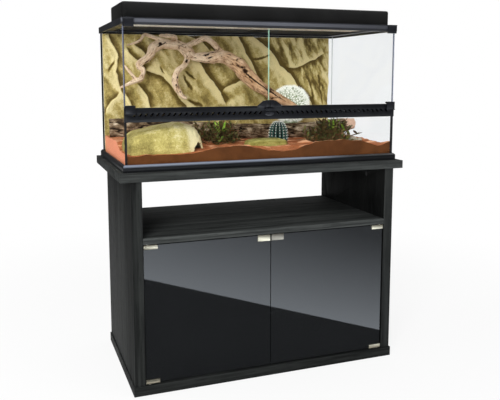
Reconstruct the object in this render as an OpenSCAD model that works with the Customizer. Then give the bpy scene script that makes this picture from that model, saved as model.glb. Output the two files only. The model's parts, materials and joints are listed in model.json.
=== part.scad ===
// Glass terrarium with a light hood, on a board cabinet with an open shelf and two glass doors.
// X runs across the width, Y from front to back and Z up. The origin is on the floor, under the
// middle of the top board. All sizes are in millimetres.

/* [Cabinet boards] */
// Width of the top board
top_w = 944; // [920:2:1040]
// Depth of the top board
top_d = 500; // [490:2:580]
// Thickness of the top board
top_t = 26; // [20:1:40]
// Height of the cabinet, from the floor to the top of its top board
cab_h = 680; // [620:5:800]
// Width over the two side panels
body_w = 880; // [800:2:910]
// Depth of the side panels
body_d = 468; // [400:2:480]
// How far the side panels stand back from the front edge of the top board
body_setback = 7; // [4:1:12]
// Thickness of the side panels
side_t = 32; // [22:1:40]
// Thickness of the base board
base_t = 30; // [22:1:40]
// How far the base board stands out past the panels, at the front and the sides
base_lip = 4; // [0:1:10]
// Height of the top of the middle shelf above the floor
shelf_h = 484; // [400:2:560]
// Thickness of the middle shelf
shelf_t = 18; // [15:1:26]
// Thickness of the back panel of the cupboard
back_t = 6; // [4:1:12]
// How far the back panel stands in from the rear edges of the side panels
back_inset = 12; // [4:1:40]
// Radius of the cable hole in the back panel
cable_hole_r = 30; // [20:1:40]
// Height of the middle of the cable hole above the base board
cable_hole_up = 350; // [60:5:360]

/* [Board joints] */
// Diameter of the wooden dowels
dowel_d = 8; // [6:1:10]
// Length of a dowel in the panel or the shelf
dowel_in_panel = 22; // [16:1:28]
// Length of a dowel in the board that it joins
dowel_in_board = 9; // [6:1:12]
// Distance of the dowels from the front and rear edges of the side panels
dowel_edge = 60; // [40:2:80]
// Diameter of the cam discs
cam_d = 15; // [12:1:20]
// Depth of the cam discs in the side panels
cam_depth = 13; // [11:1:15]
// Distance from the end of a side panel to the middle of its cam discs
cam_offset = 34; // [24:1:44]
// Diameter of the bolts that the cams draw in
cam_bolt_d = 7; // [5:1:8]
// Distance of the cam bolts from the inner face of the side panel
cam_bolt_in = 9; // [7:1:9]
// Distance of the cams from the front and rear edges of the side panels
cam_edge = 120; // [100:5:160]
// Play between a fastener and its hole
joint_play = 0.1; // [0.05:0.05:0.3]
// Play between two boards that meet without glue
board_play = 0.2; // [0.1:0.1:0.5]

/* [Cabinet doors] */
// Thickness of the smoked glass doors
door_t = 5; // [4:1:6]
// How far the doors stand back from the front edges of the side panels
door_inset = 5; // [2:1:12]
// Gap between a door and the side panel
door_side_gap = 2; // [1.6:0.2:3]
// Gap between the two doors
door_mid_gap = 2.4; // [2:0.2:5]
// Gap over the doors, under the shelf
door_top_gap = 4; // [3.4:0.2:6]
// Gap under the doors, over the base board
door_low_gap = 3; // [2.8:0.2:6]
// Length of a hinge clamp
clamp_l = 42; // [34:1:56]
// Height of a hinge clamp
clamp_h = 13; // [10:1:20]
// Depth of a hinge clamp, front to back
clamp_d = 12; // [10:0.5:14]
// Thickness of metal over the edge of the glass in the clamps and strike plates
cap_t = 1.2; // [0.8:0.1:1.6]
// Clearance of a clamp as it swings past the side panel
swing_clear = 0.5; // [0.3:0.1:0.8]
// Radius of the hinge pins
pin_r = 2.5; // [2:0.1:3]
// Thickness of the flange on a hinge pin
pin_flange_t = 0.8; // [0.6:0.1:1]
// Depth of a hinge pin in its bush
pin_in_bush = 8; // [5:0.5:10]
// Running clearance of a pin in its bush, on the radius
pin_play = 0.05; // [0.03:0.01:0.08]
// Wall of the bushes
bush_wall = 1.6; // [1.2:0.1:2.4]
// Radius of the grub screws in the hinge clamps
grub_r = 2; // [1.5:0.1:2.4]
// Width of the hexagon socket in a grub screw
grub_hex = 2; // [1.2:0.1:2.2]
// Length of a strike plate
strike_l = 42; // [30:1:56]
// Height of a strike plate
strike_h = 20; // [17:1:28]
// Distance of a strike plate from the inner edge of its door
strike_edge = 1; // [0:0.5:6]

/* [Push catches] */
// Width of a catch housing
catch_w = 16; // [14:1:24]
// Height of a catch housing
catch_h = 14; // [12:1:18]
// Length of a catch housing, front to back
catch_l = 52; // [40:1:70]
// Radius of a catch plunger
plunger_r = 4; // [3:0.5:5]
// Travel of a catch plunger
plunger_travel = 4; // [2:0.5:8]
// Length of a catch plunger in its housing when the door is shut
plunger_in = 26; // [18:1:28]
// Thickness of the fixing flange of a catch
flange_t = 3; // [2:0.5:5]
// How far the fixing flange stands out at each side of a catch
flange_out = 10; // [9:1:16]
// Radius of the catch screws
screw_r = 1.7; // [1.2:0.1:2]
// Radius of the heads of the catch screws
screw_head_r = 3.4; // [2.8:0.1:4]
// Height of the heads of the catch screws
screw_head_t = 2; // [1.5:0.1:3]
// Length of a catch screw in the shelf
screw_in_board = 11; // [8:1:13]

/* [Tank] */
// Width of the glass tank over its panes
tank_w = 900; // [840:2:910]
// Depth of the glass tank over its panes
tank_d = 450; // [440:2:466]
// Height of the tank over its plastic frames
tank_h = 446; // [400:2:560]
// How far the middle of the tank lies behind the middle of the top board
tank_back = 8; // [0:1:8]
// Thickness of the side, rear and bottom panes
pane_t = 5; // [4:1:6]
// Thickness of the front window and the front doors
front_t = 4; // [3:0.5:5]
// Thickness of the silicone between two panes
seal_t = 1; // [0.8:0.1:2]
// Width of the silicone behind the edges of the front window
seal_w = 7; // [5:0.5:10]
// Gap between parts of different bodies that rest on each other
seat_gap = 0.3; // [0.2:0.1:0.6]
// Play between the glass and a plastic frame
frame_play = 0.3; // [0.2:0.1:0.6]
// Height of the bottom frame
foot_h = 22; // [18:1:30]
// How far the bottom frame stands out past the glass
foot_lip = 8; // [5:1:10]
// Height of the ledge under the bottom pane
foot_ledge_h = 8; // [7:1:12]
// How far the ledge reaches in under the bottom pane
foot_ledge_in = 14; // [8:1:24]
// Width of the bevel along the upper outer edge of the bottom frame
foot_bevel = 5; // [1:0.5:5]
// Height of the top frame
rail_h = 20; // [16:1:26]
// How far the top frame and the vent strip stand out past the glass
rail_lip = 4; // [3:0.5:4]
// How far the top frame reaches in from the outside of the glass
rail_in = 26; // [22:1:40]
// Depth of the groove in the top frame that takes the panes
rail_groove = 6; // [4:1:8]

/* [Vent strip] */
// Height of the top of the vent strip above the foot of the tank
strip_up = 188; // [170:2:220]
// Height of the vent strip
strip_h = 42; // [36:1:50]
// Wall of the vent strip
strip_wall = 2; // [1.6:0.1:2]
// Depth of the groove in the strip that takes the window
strip_groove = 8; // [5:1:10]
// Number of vent slots on each side of the middle
slot_count = 24; // [16:1:25]
// Distance from one vent slot to the next
slot_pitch = 17; // [13:0.5:17]
// Width of a vent slot
slot_w = 7; // [3:0.5:7]
// Height of a vent slot
slot_h = 9.5; // [6:0.5:12]
// Lean of the vent slots in degrees
slot_lean = 35; // [0:5:40]
// Distance from the middle of the strip to the first slot
slot_start = 29; // [28:1:40]
// Width of the bare oval plate
oval_w = 30; // [24:1:40]
// Height of the bare oval plate
oval_h = 14; // [10:1:16]
// Thickness of the bare oval plate
oval_t = 2; // [1:0.5:3]
// Distance from the top of the strip to the middle of the oval plate
oval_down = 24; // [23:1:26]

/* [Tank doors] */
// Gap over and under the tank doors
tdoor_gap = 2; // [1.5:0.5:4]
// Gap between the two tank doors
tdoor_mid_gap = 2; // [1.6:0.2:4]
// Distance of the outer edge of a door from the side of the tank
tdoor_edge = 1; // [0.5:0.5:2]
// Radius of the hinge knuckles
knuckle_r = 3.7; // [3.2:0.1:3.8]
// Distance of the hinge axis from the side of the tank
hinge_in = 4; // [4:0.5:8]
// Length of a hinge leaf from its axis
leaf_l = 27; // [18:1:40]
// Height of the part of a hinge leaf that lies on the glass
leaf_lap = 5; // [4:0.5:10]
// Thickness of the ears that carry the hinge pins
ear_t = 3; // [2.5:0.5:5]
// Radius of the tank hinge pins
tpin_r = 1.5; // [1.2:0.1:1.8]
// Width of a door pull
pull_w = 41; // [34:1:56]
// Height of a door pull over the lower edge of the door
pull_up = 16; // [12:1:24]
// How far a door pull hangs down in front of the strip
pull_down = 5; // [3:1:7]
// Thickness of a door pull in front of the strip
pull_t = 4.7; // [3:0.5:6]
// Width of the thumb block on a door pull
thumb_w = 12; // [8:1:14]
// Thickness of the thumb block on a door pull
thumb_t = 3; // [2:0.5:5]
// Length of the turning latch
latch_l = 32; // [28:1:34]
// Height of the turning latch
latch_h = 7; // [5:0.5:7]
// Thickness of the turning latch
latch_t = 4; // [3:0.5:6]
// Distance of the middle of the latch below the top of the strip
latch_down = 10.5; // [10:0.5:12]
// Radius of the spindle of the latch
spindle_r = 2.5; // [2:0.1:3]

/* [Lid and hood] */
// Step in the top frame that the lid sits on, sideways
lid_step = 10; // [6:1:16]
// Depth of that step
lid_step_h = 6; // [4:1:8]
// Width of the bars of the lid inside the top frame
lid_bar = 12; // [8:1:20]
// Height of the ledge under the mesh
lid_ledge_h = 6; // [5:0.5:7]
// Thickness of the mesh
mesh_t = 1.2; // [0.8:0.1:1.6]
// Width of one wire of the mesh
wire_w = 1.6; // [1:0.1:3]
// Number of mesh openings across the width
mesh_nx = 24; // [12:1:30]
// Number of mesh openings front to back
mesh_ny = 12; // [6:1:14]
// How far the ends of the hood stand in from the sides of the tank
hood_in = 5; // [2:1:12]
// Depth of the hood
hood_d = 210; // [180:2:260]
// Height of the hood
hood_h = 48; // [46:1:70]
// How far the hood stands back from the front of the tank
hood_back = 29; // [10:1:60]
// Wall of the hood
hood_wall = 2.5; // [2:0.1:3.5]
// Radius of the upright corners of the hood
hood_r = 14; // [8:1:22]
// Radius of the upper edge of the hood
hood_edge_r = 5; // [3:0.5:8]
// Thickness of the reflector sheet
sheet_t = 0.8; // [0.6:0.1:1.2]
// Gap between the reflector and the ends of the hood
sheet_end_gap = 12; // [6:1:24]
// Radius of a lamp holder
holder_r = 17; // [16:0.5:18]
// Length of a lamp holder
holder_l = 38; // [32:1:44]
// Radius of the thread of a lamp
lamp_cap_r = 13.2; // [11:0.1:14]
// Radius of a lamp
lamp_r = 15; // [14.5:0.5:16]
// Length of a lamp in front of its holder
lamp_l = 140; // [110:2:142]
// Distance of the middle holders from the middle of the hood
holder_mid = 22; // [20:1:26]
// Width of the switch in the rear wall of the hood
switch_w = 28; // [24:1:34]
// Height of the switch
switch_h = 18; // [17:1:20]
// Radius of the rocker
rocker_r = 5.2; // [4:0.2:5.4]
// Distance of the switch from the middle of the hood
switch_x = 300; // [200:10:340]
// Distance of the cord gland from the middle of the hood
gland_x = 385; // [360:5:395]
// Radius of the bore of the cord gland
gland_r = 3.2; // [2.5:0.1:4]
// Wall of the cord gland
gland_wall = 2; // [1.5:0.5:3]

/* [Inside the tank] */
// Mean depth of the sand
sand_depth = 38; // [30:1:46]
// Height of the small waves of the sand
sand_wave = 4; // [0:1:6]
// Height of the long crests of the sand behind the front window
sand_crest = 12; // [0:1:13]
// Rise of the sand to its back left corner
sand_bank = 22; // [0:1:24]
// Thickness of the rock background at its foot
rock_foot_t = 14; // [8:1:16]
// Depth of the relief of the rock background
rock_relief = 14; // [4:1:15]
// Depth of the grain of the rock background
rock_rough = 1; // [0.2:0.2:2]
// Gap between the rock background and the right pane
rock_gap = 23; // [0:1:40]
// Width of the rock hide
hide_w = 256; // [200:4:260]
// Depth of the rock hide
hide_d = 190; // [150:5:200]
// Height of the rock hide
hide_h = 96; // [80:2:130]
// Distance that the top of the rock hide lies right of its middle
hide_lean = 40; // [0:5:50]
// Wall of the rock hide
hide_wall = 7; // [5:1:10]
// Radius of the mouth of the rock hide
hide_mouth_r = 36; // [30:1:48]
// Turn of the mouth of the rock hide from its right side to the front
hide_mouth_turn = 30; // [0:5:60]
// Radius of the fallen log at its thick end
log_r0 = 40; // [30:1:42]
// Radius of the fallen log at its thin end
log_r1 = 35; // [26:1:36]
// Distance of the left end of the log from the front of the rear pane
log_back_left = 66; // [64:1:80]
// Distance of the right end of the log from the front of the rear pane
log_back_right = 206; // [190:2:210]
// Height of the driftwood over the bottom pane
drift_up = 382; // [372:1:384]
// Radius of the driftwood at its thick end
drift_r = 28; // [20:1:32]
// Radius of the spiny cactus
spiny_r = 68; // [50:1:70]
// Height of the spiny cactus
spiny_h = 206; // [180:2:220]
// Radius of the barrel cactus
barrel_r = 36; // [26:1:38]
// Height of the barrel cactus
barrel_h = 84; // [60:2:96]
// Number of ribs on the barrel cactus
barrel_ribs = 14; // [8:1:20]
// Height of the plants
plant_h = 90; // [60:2:100]
// Half width of the left plant
left_plant_w = 80; // [50:2:84]
// Half width of the right plant
right_plant_w = 110; // [50:2:114]
// Half depth of the plants
plant_d = 50; // [30:2:60]
// Number of leaves on a plant
leaf_count = 16; // [8:1:24]
// Thickness of the flat stone
slab_t = 33; // [16:1:36]
// Width of the flat stone
slab_w = 140; // [100:5:150]
// Depth of the flat stone
slab_d = 70; // [50:5:80]

/* [Hidden] */
$fn = 48;
past = 1; // how far a cut runs past the face it opens

// cabinet
top_y0 = -top_d / 2;
body_y0 = top_y0 + body_setback;
body_y1 = body_y0 + body_d;
inner_w = body_w - 2 * side_t;
side_z1 = cab_h - top_t;
shelf_z0 = shelf_h - shelf_t;
dowel_x = body_w / 2 - side_t / 2;
dowel_ys = [body_y0 + dowel_edge, body_y1 - dowel_edge];
cam_x = inner_w / 2 + cam_bolt_in;
cam_ys = [body_y0 + cam_edge, body_y1 - cam_edge];

// cabinet doors, as they stand on the right
door_x1 = inner_w / 2 - door_side_gap;
door_x0 = door_mid_gap / 2;
door_y0 = body_y0 + door_inset;
door_z0 = base_t + door_low_gap;
door_z1 = shelf_z0 - door_top_gap;
swing_room = door_side_gap - swing_clear;
pivot_in = (pow(clamp_d / 2, 2) - swing_room * swing_room) / (2 * swing_room);
pivot_x = door_x1 - pivot_in;
pivot_y = door_y0 + door_t / 2;
bush_r = pin_r + pin_play + bush_wall;

// push catches
catch_x = door_x0 + strike_edge + strike_l / 2;
catch_z = shelf_z0 - catch_h / 2;
plunger_y = door_y0 + door_t + cap_t + seat_gap;
catch_y = plunger_y + plunger_travel + past;
screw_y = catch_y + catch_l - flange_out;
screw_x = catch_w / 2 + flange_out / 2;

// tank
tank_z0 = cab_h + seat_gap;
tank_z1 = tank_z0 + tank_h;
tank_x = tank_w / 2;
tank_y0 = tank_back - tank_d / 2;
tank_y1 = tank_y0 + tank_d;
floor_z = tank_z0 + foot_ledge_h + pane_t;
pane_z0 = floor_z + seal_t;
rail_z0 = tank_z1 - rail_h;
pane_z1 = rail_z0 + rail_groove;
side_y0 = tank_y0 + front_t + seal_t;
side_y1 = tank_y1 - pane_t - seal_t;
in_x = tank_x - pane_t;
in_y0 = tank_y0 + front_t;
in_y1 = tank_y1 - pane_t;
rail_y0 = tank_y0 - rail_lip;
strip_z1 = tank_z0 + strip_up;
strip_z0 = strip_z1 - strip_h;
strip_y1 = side_y0 - seal_t / 2;

// tank doors, as they stand on the right
axis_x = tank_x - hinge_in;
axis_y = rail_y0 - seat_gap - knuckle_r;
tdoor_z0 = strip_z1 + tdoor_gap;
tdoor_z1 = rail_z0 - tdoor_gap;
pull_y0 = rail_y0 - seat_gap - pull_t;
latch_z = strip_z1 - latch_down;
latch_y1 = pull_y0 - thumb_t - seat_gap;

// lid and hood
lid_in_x = tank_x - rail_in;
lid_y0 = tank_y0 + rail_in;
lid_y1 = tank_y1 - rail_in;
lid_z0 = tank_z1 - lid_step_h;
lid_low_z = pane_z1;
mesh_z = lid_low_z + lid_ledge_h;
mesh_lap = 5; // how far the mesh lies on the ledge
hood_z0 = tank_z1 + seat_gap;
hood_x = tank_x - hood_in;
hood_y0 = tank_y0 + hood_back;
hood_y1 = hood_y0 + hood_d;
hood_mid_y = hood_y0 + hood_d / 2;
ceiling_z = hood_z0 + hood_h - hood_wall - frame_play;
holder_foot_h = 2; // gap between a lamp holder and the reflector
holder_floor_t = 8;
lamp_z = ceiling_z - sheet_t - holder_foot_h - holder_r;
holder_end_x = hood_x - hood_wall - sheet_end_gap - 4;
rear_z = hood_z0 + hood_h / 2;
switch_rim = 2.2; // how far the face of the switch stands out past its body
switch_face_t = 1.6;
switch_l = switch_w - 8; // room for the rocker, along its axis
rocker_gap = 0.3;
rocker_tilt = 12;
rocker_pin_in = 1.1;
rear_slots_x = 120; // middle of each row of slots in the rear wall of the hood
gland_in = 3; // how far the gland reaches into the hood past its wall

// furnishing
sand_z = floor_z + sand_depth;
bed_z = sand_z - 10; // height that the stones and plants stand at, below the surface
bed_play = 0.3;
rock_y = in_y1 - rock_foot_t;
hide_x = -in_x + 4 + hide_w / 2;
hide_y = in_y0 + 10 + hide_d / 2;
spiny_x = 226;
spiny_foot_r = spiny_r * 0.45;
spiny_y = rock_y - rock_relief - rock_rough - 2 - spiny_r;
barrel_x = 114;
barrel_in = 190; // distances of the middles of the plants from the front of the tank
left_plant_in = 205;
right_plant_in = 150;
slab_in = 112;
barrel_y = in_y0 + barrel_in;
plant_foot = [48, 32, 22];
leaf_root_z = 18; // height over the foot of a plant that its leaves start at
leaf_low = 30; // rise of the lowest and of the steepest leaves, in degrees
leaf_high = 75;
left_plant = [-104, in_y0 + left_plant_in];
right_plant = [296, in_y0 + right_plant_in];
slab_x = 36;
slab_y = in_y0 + slab_in;
slab_form = [[-1, -0.3], [-0.62, -0.92], [0.16, -1], [0.8, -0.74], [1, 0.06], [0.66, 0.8], [-0.1, 1],
    [-0.8, 0.7]]; // outline of the stone, in half widths and half depths
drift_z = floor_z + drift_up;

module block(x0, x1, y0, y1, z0, z1) {
    translate([x0, y0, z0]) cube([x1 - x0, y1 - y0, z1 - z0]);
}

// draws its children as they are, and mirrored for the left side
module to_side(side) {
    if (side < 0) mirror([1, 0, 0]) children();
    else children();
}

module rod_x(r, h) {
    rotate([0, 90, 0]) cylinder(r = r, h = h);
}

module rod_y(r, h) {
    rotate([-90, 0, 0]) cylinder(r = r, h = h);
}

// ---- cabinet ----

// upright rods through both ends of both side panels
module end_rods(x, ys, r, in_panel, in_board) {
    for (side = [-1, 1], y = ys) {
        translate([side * x, y, side_z1 - in_panel]) cylinder(r = r, h = in_panel + in_board);
        translate([side * x, y, base_t - in_board]) cylinder(r = r, h = in_panel + in_board);
    }
}

module dowel_rods(play) {
    r = dowel_d / 2 + play;
    in_panel = dowel_in_panel + play;
    in_board = dowel_in_board + play;
    end_rods(dowel_x, dowel_ys, r, in_panel, in_board);
    for (side = [0, 1], y = dowel_ys) mirror([side, 0, 0])
        translate([inner_w / 2 - in_panel, y, shelf_h - shelf_t / 2]) rod_x(r, in_panel + in_board);
}

module cam_bolts(play, in_panel) {
    end_rods(cam_x, cam_ys, cam_bolt_d / 2 + play, in_panel, dowel_in_board + play);
}

module cam_discs(play) {
    for (side = [0, 1], y = cam_ys, z = [side_z1 - cam_offset, base_t + cam_offset])
        mirror([side, 0, 0]) translate([inner_w / 2 - play, y, z])
            rod_x(cam_d / 2 + play, cam_depth + 2 * play);
}

module joint_holes() {
    dowel_rods(joint_play);
    cam_bolts(joint_play, cam_offset);
}

module top_board() {
    color([0.20, 0.21, 0.20]) difference() {
        block(-top_w / 2, top_w / 2, top_y0, -top_y0, side_z1, cab_h);
        joint_holes();
    }
}

module side_panel(side) {
    x = side * (body_w - side_t) / 2;
    color([0.17, 0.18, 0.17]) difference() {
        block(x - side_t / 2, x + side_t / 2, body_y0, body_y1, base_t, side_z1);
        joint_holes();
        cam_discs(joint_play);
    }
}

module base_board() {
    x = body_w / 2 + base_lip;
    color([0.15, 0.16, 0.16]) difference() {
        block(-x, x, body_y0 - base_lip, body_y1, 0, base_t);
        joint_holes();
        for (side = [-1, 1]) translate([side * pivot_x, pivot_y, base_t - pin_in_bush - past])
            cylinder(r = bush_r + pin_play, h = pin_in_bush + 2 * past);
    }
}

module middle_shelf() {
    x = inner_w / 2 - board_play;
    color([0.19, 0.20, 0.18]) difference() {
        block(-x, x, body_y0, body_y1, shelf_z0, shelf_h);
        dowel_rods(joint_play);
        for (side = [-1, 1]) {
            translate([side * pivot_x, pivot_y, shelf_z0 - past])
                cylinder(r = bush_r + pin_play, h = pin_in_bush + 2 * past);
            for (end = [-1, 1]) translate([side * catch_x + end * screw_x, screw_y, shelf_z0 - past])
                cylinder(r = screw_r + joint_play, h = screw_in_board + past + joint_play);
        }
    }
}

module back_panel() {
    x = inner_w / 2 - board_play;
    y1 = body_y1 - back_inset;
    color([0.14, 0.14, 0.14]) difference() {
        block(-x, x, y1 - back_t, y1, base_t + board_play, shelf_z0 - board_play);
        translate([0, y1 - back_t - past, base_t + cable_hole_up]) rod_y(cable_hole_r, back_t + 2 * past);
    }
}

module dowels() {
    color("burlywood") dowel_rods(0);
}

module cam_fasteners() {
    key_depth = 1.5;
    key_l = 8;
    key_w = 1.6;
    color("silver") {
        cam_bolts(0, cam_offset - cam_d / 2 - joint_play);
        difference() {
            cam_discs(0);
            for (side = [0, 1], y = cam_ys, z = [side_z1 - cam_offset, base_t + cam_offset])
                mirror([side, 0, 0]) block(inner_w / 2 - past, inner_w / 2 + key_depth,
                    y - key_l / 2, y + key_l / 2, z - key_w / 2, z + key_w / 2);
        }
    }
}

// collar that stands out of the board and stops just short of the flange of the pin
function collar_h(gap) = gap - cap_t - pin_flange_t - seat_gap;

module bush(collar) {
    difference() {
        translate([0, 0, -pin_in_bush]) cylinder(r = bush_r, h = pin_in_bush + collar);
        translate([0, 0, -pin_in_bush - past])
            cylinder(r = pin_r + pin_play, h = pin_in_bush + collar + 2 * past);
    }
}

module hinge_bushes() {
    color("ivory") for (side = [-1, 1]) {
        translate([side * pivot_x, pivot_y, base_t]) bush(collar_h(door_low_gap));
        translate([side * pivot_x, pivot_y, shelf_z0]) mirror([0, 0, 1]) bush(collar_h(door_top_gap));
    }
}

// ---- push catches under the shelf ----

module push_catch(side) {
    bore_l = plunger_in + plunger_travel + past;
    color([0.2, 0.2, 0.2]) to_side(side) difference() {
        union() {
            block(catch_x - catch_w / 2, catch_x + catch_w / 2, catch_y, catch_y + catch_l,
                shelf_z0 - catch_h, shelf_z0);
            block(catch_x - catch_w / 2 - flange_out, catch_x + catch_w / 2 + flange_out,
                screw_y - flange_out, screw_y + flange_out, shelf_z0 - flange_t, shelf_z0);
        }
        translate([catch_x, catch_y - past, catch_z]) rod_y(plunger_r + joint_play, bore_l + past);
        for (end = [-1, 1]) translate([catch_x + end * screw_x, screw_y, shelf_z0 - flange_t - past])
            cylinder(r = screw_r + joint_play, h = flange_t + 2 * past);
    }
}

module catch_screws() {
    cross_w = 0.8;
    color("silver") for (side = [-1, 1], end = [-1, 1])
        translate([side * catch_x + end * screw_x, screw_y, shelf_z0 - flange_t]) difference() {
            union() {
                cylinder(r = screw_r, h = flange_t + screw_in_board);
                translate([0, 0, -screw_head_t]) cylinder(r = screw_head_r, h = screw_head_t);
            }
            for (turn = [0, 90]) rotate(turn)
                block(-screw_head_r / 2, screw_head_r / 2, -cross_w / 2, cross_w / 2,
                    -screw_head_t - past, -screw_head_t / 2);
        }
}

module catch_plunger(side) {
    color([0.85, 0.85, 0.82]) to_side(side) translate([catch_x, plunger_y, catch_z])
        rod_y(plunger_r, catch_y - plunger_y + plunger_in);
}

// ---- cabinet doors ----

module door_glass(side) {
    color([0.2, 0.22, 0.24, 0.8]) to_side(side)
        block(door_x0, door_x1, door_y0, door_y0 + door_t, door_z0, door_z1);
}

// a clamp that wraps the edge of the glass, drawn with that edge at z = 0
module hinge_clamp() {
    difference() {
        block(door_x1 - clamp_l, door_x1, pivot_y - clamp_d / 2, pivot_y + clamp_d / 2,
            cap_t - clamp_h, cap_t);
        block(door_x1 - clamp_l - past, door_x1 + past, door_y0, door_y0 + door_t, -clamp_h, 0);
        grub_holes(grub_r);
    }
}

module grub_holes(r) {
    for (x = [door_x1 - clamp_l / 4, door_x1 - clamp_l * 3 / 4])
        translate([x, door_y0 + door_t, (cap_t - clamp_h) / 2]) rod_y(r, clamp_d / 2 - door_t / 2 + past);
}

// puts its children at the upper and the lower edge of the glass
module at_both_edges() {
    translate([0, 0, door_z1]) children();
    translate([0, 0, door_z0]) mirror([0, 0, 1]) children();
}

module door_hinges(side) {
    color([0.78, 0.75, 0.68]) to_side(side) at_both_edges() hinge_clamp();
}

module hinge_pins(side) {
    color([0.7, 0.7, 0.7]) to_side(side) {
        translate([pivot_x, pivot_y, door_z1 + cap_t]) pivot_pin(door_top_gap);
        translate([pivot_x, pivot_y, door_z0 - cap_t]) mirror([0, 0, 1]) pivot_pin(door_low_gap);
    }
}

module pivot_pin(gap) {
    cylinder(r = bush_r, h = pin_flange_t);
    cylinder(r = pin_r, h = gap - cap_t + pin_in_bush - past);
}

module grub_screws(side) {
    l = clamp_d / 2 - door_t / 2;
    color([0.4, 0.4, 0.4]) to_side(side) at_both_edges() difference() {
        for (x = [door_x1 - clamp_l / 4, door_x1 - clamp_l * 3 / 4])
            translate([x, door_y0 + door_t, (cap_t - clamp_h) / 2]) difference() {
                rod_y(grub_r - joint_play / 2, l);
                translate([0, l / 2, 0]) rotate([-90, 0, 0]) cylinder(d = grub_hex, h = l, $fn = 6);
            }
    }
}

module strike_plate(side) {
    x0 = door_x0 + strike_edge;
    color([0.78, 0.75, 0.68]) to_side(side) difference() {
        block(x0, x0 + strike_l, door_y0 - cap_t, door_y0 + door_t + cap_t,
            door_z1 + cap_t - strike_h, door_z1 + cap_t);
        block(x0 - past, x0 + strike_l + past, door_y0, door_y0 + door_t, door_z1 - strike_h, door_z1);
    }
}

// ---- tank ----

module bottom_frame() {
    x = tank_x + foot_lip;
    y0 = tank_y0 - foot_lip;
    y1 = tank_y1 + foot_lip;
    fit_x = tank_x + frame_play;
    side = sqrt(2) * foot_bevel;
    color([0.08, 0.08, 0.1]) difference() {
        block(-x, x, y0, y1, tank_z0, tank_z0 + foot_h);
        block(-fit_x, fit_x, tank_y0 - frame_play, tank_y1 + frame_play,
            tank_z0 + foot_ledge_h, tank_z0 + foot_h + past);
        block(foot_ledge_in - tank_x, tank_x - foot_ledge_in, tank_y0 + foot_ledge_in,
            tank_y1 - foot_ledge_in, tank_z0 - past, tank_z0 + foot_ledge_h + past);
        for (y = [y0, y1]) translate([0, y, tank_z0 + foot_h]) rotate([45, 0, 0])
            cube([2 * x + 2 * past, side, side], center = true);
        for (end = [-1, 1]) translate([end * x, (y0 + y1) / 2, tank_z0 + foot_h]) rotate([0, 45, 0])
            cube([side, y1 - y0 + 2 * past, side], center = true);
    }
}

module bottom_pane() {
    color([0.7, 0.85, 0.8, 0.4]) block(-tank_x, tank_x, tank_y0, tank_y1, floor_z - pane_t, floor_z);
}

module rear_pane() {
    color([0.7, 0.85, 0.8, 0.4]) block(-tank_x, tank_x, in_y1, tank_y1, pane_z0, pane_z1);
}

module side_pane(side) {
    color([0.7, 0.85, 0.8, 0.4]) to_side(side) block(in_x, tank_x, side_y0, side_y1, pane_z0, pane_z1);
}

module front_window() {
    color([0.7, 0.85, 0.8, 0.4])
        block(-tank_x, tank_x, tank_y0, in_y0, pane_z0, strip_z0 + strip_groove);
}

module silicone_seals() {
    color([0.05, 0.05, 0.05]) for (side = [-1, 1]) to_side(side) {
        block(tank_x - seal_w, tank_x, in_y0, side_y0, floor_z, strip_z0);
        block(in_x, tank_x, side_y1, in_y1, floor_z, pane_z1);
        block(in_x, tank_x, side_y0, side_y1, floor_z, pane_z0);
        for (y = [[tank_y0, in_y0], [in_y1, tank_y1]]) block(0, tank_x, y[0], y[1], floor_z, pane_z0);
    }
}

// one vent slot, as a leaning four-sided hole
module slot() {
    lean = tan(slot_lean) * slot_h / 2;
    translate([0, rail_y0 - past, 0]) rotate([-90, 0, 0])
        linear_extrude(strip_y1 - rail_y0 + 2 * past)
            polygon([[-lean - slot_w / 2, -slot_h / 2], [-lean + slot_w / 2, -slot_h / 2],
                [lean + slot_w / 2, slot_h / 2], [lean - slot_w / 2, slot_h / 2]]);
}

// the four ears that the tank hinge pins turn in stand on the strip and the top frame
module ear(z0) {
    block(axis_x - leaf_l, axis_x + knuckle_r, axis_y - knuckle_r, rail_y0 + past, z0, z0 + ear_t);
}

module tank_pin(play, z0, z1) {
    translate([axis_x, axis_y, z0]) cylinder(r = tpin_r + play, h = z1 - z0);
}

leaf_high_z1 = tank_z1 - ear_t - seat_gap;
leaf_low_z0 = strip_z1 - rail_h + ear_t + seat_gap;

module vent_strip() {
    z1 = strip_z1;
    color([0.08, 0.08, 0.1]) difference() {
        union() {
            block(-tank_x, tank_x, rail_y0, strip_y1, strip_z0, z1);
            for (side = [-1, 1]) to_side(side) ear(leaf_low_z0 - seat_gap - ear_t);
        }
        block(strip_wall - tank_x, tank_x - strip_wall, rail_y0 + strip_wall, strip_y1 - strip_wall,
            strip_z0 + strip_groove + strip_wall, z1 - strip_wall);
        block(-tank_x - past, tank_x + past, tank_y0, in_y0, strip_z0 - past, strip_z0 + strip_groove);
        for (side = [-1, 1], i = [0 : slot_count - 1]) to_side(side)
            translate([slot_start + i * slot_pitch, 0, z1 - strip_h / 2]) slot();
        translate([0, rail_y0 - past, latch_z]) rod_y(spindle_r + pin_play, strip_wall + 2 * past);
        for (side = [-1, 1]) to_side(side) tank_pin(pin_play, leaf_low_z0 - ear_t - past, leaf_low_z0 + past);
    }
}

module oval_plate() {
    steps = 24;
    color([0.1, 0.1, 0.12]) translate([0, rail_y0, strip_z1 - oval_down]) rotate([90, 0, 0])
        linear_extrude(oval_t) polygon([for (i = [0 : steps - 1])
            [oval_w / 2 * cos(360 * i / steps), oval_h / 2 * sin(360 * i / steps)]]);
}

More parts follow.
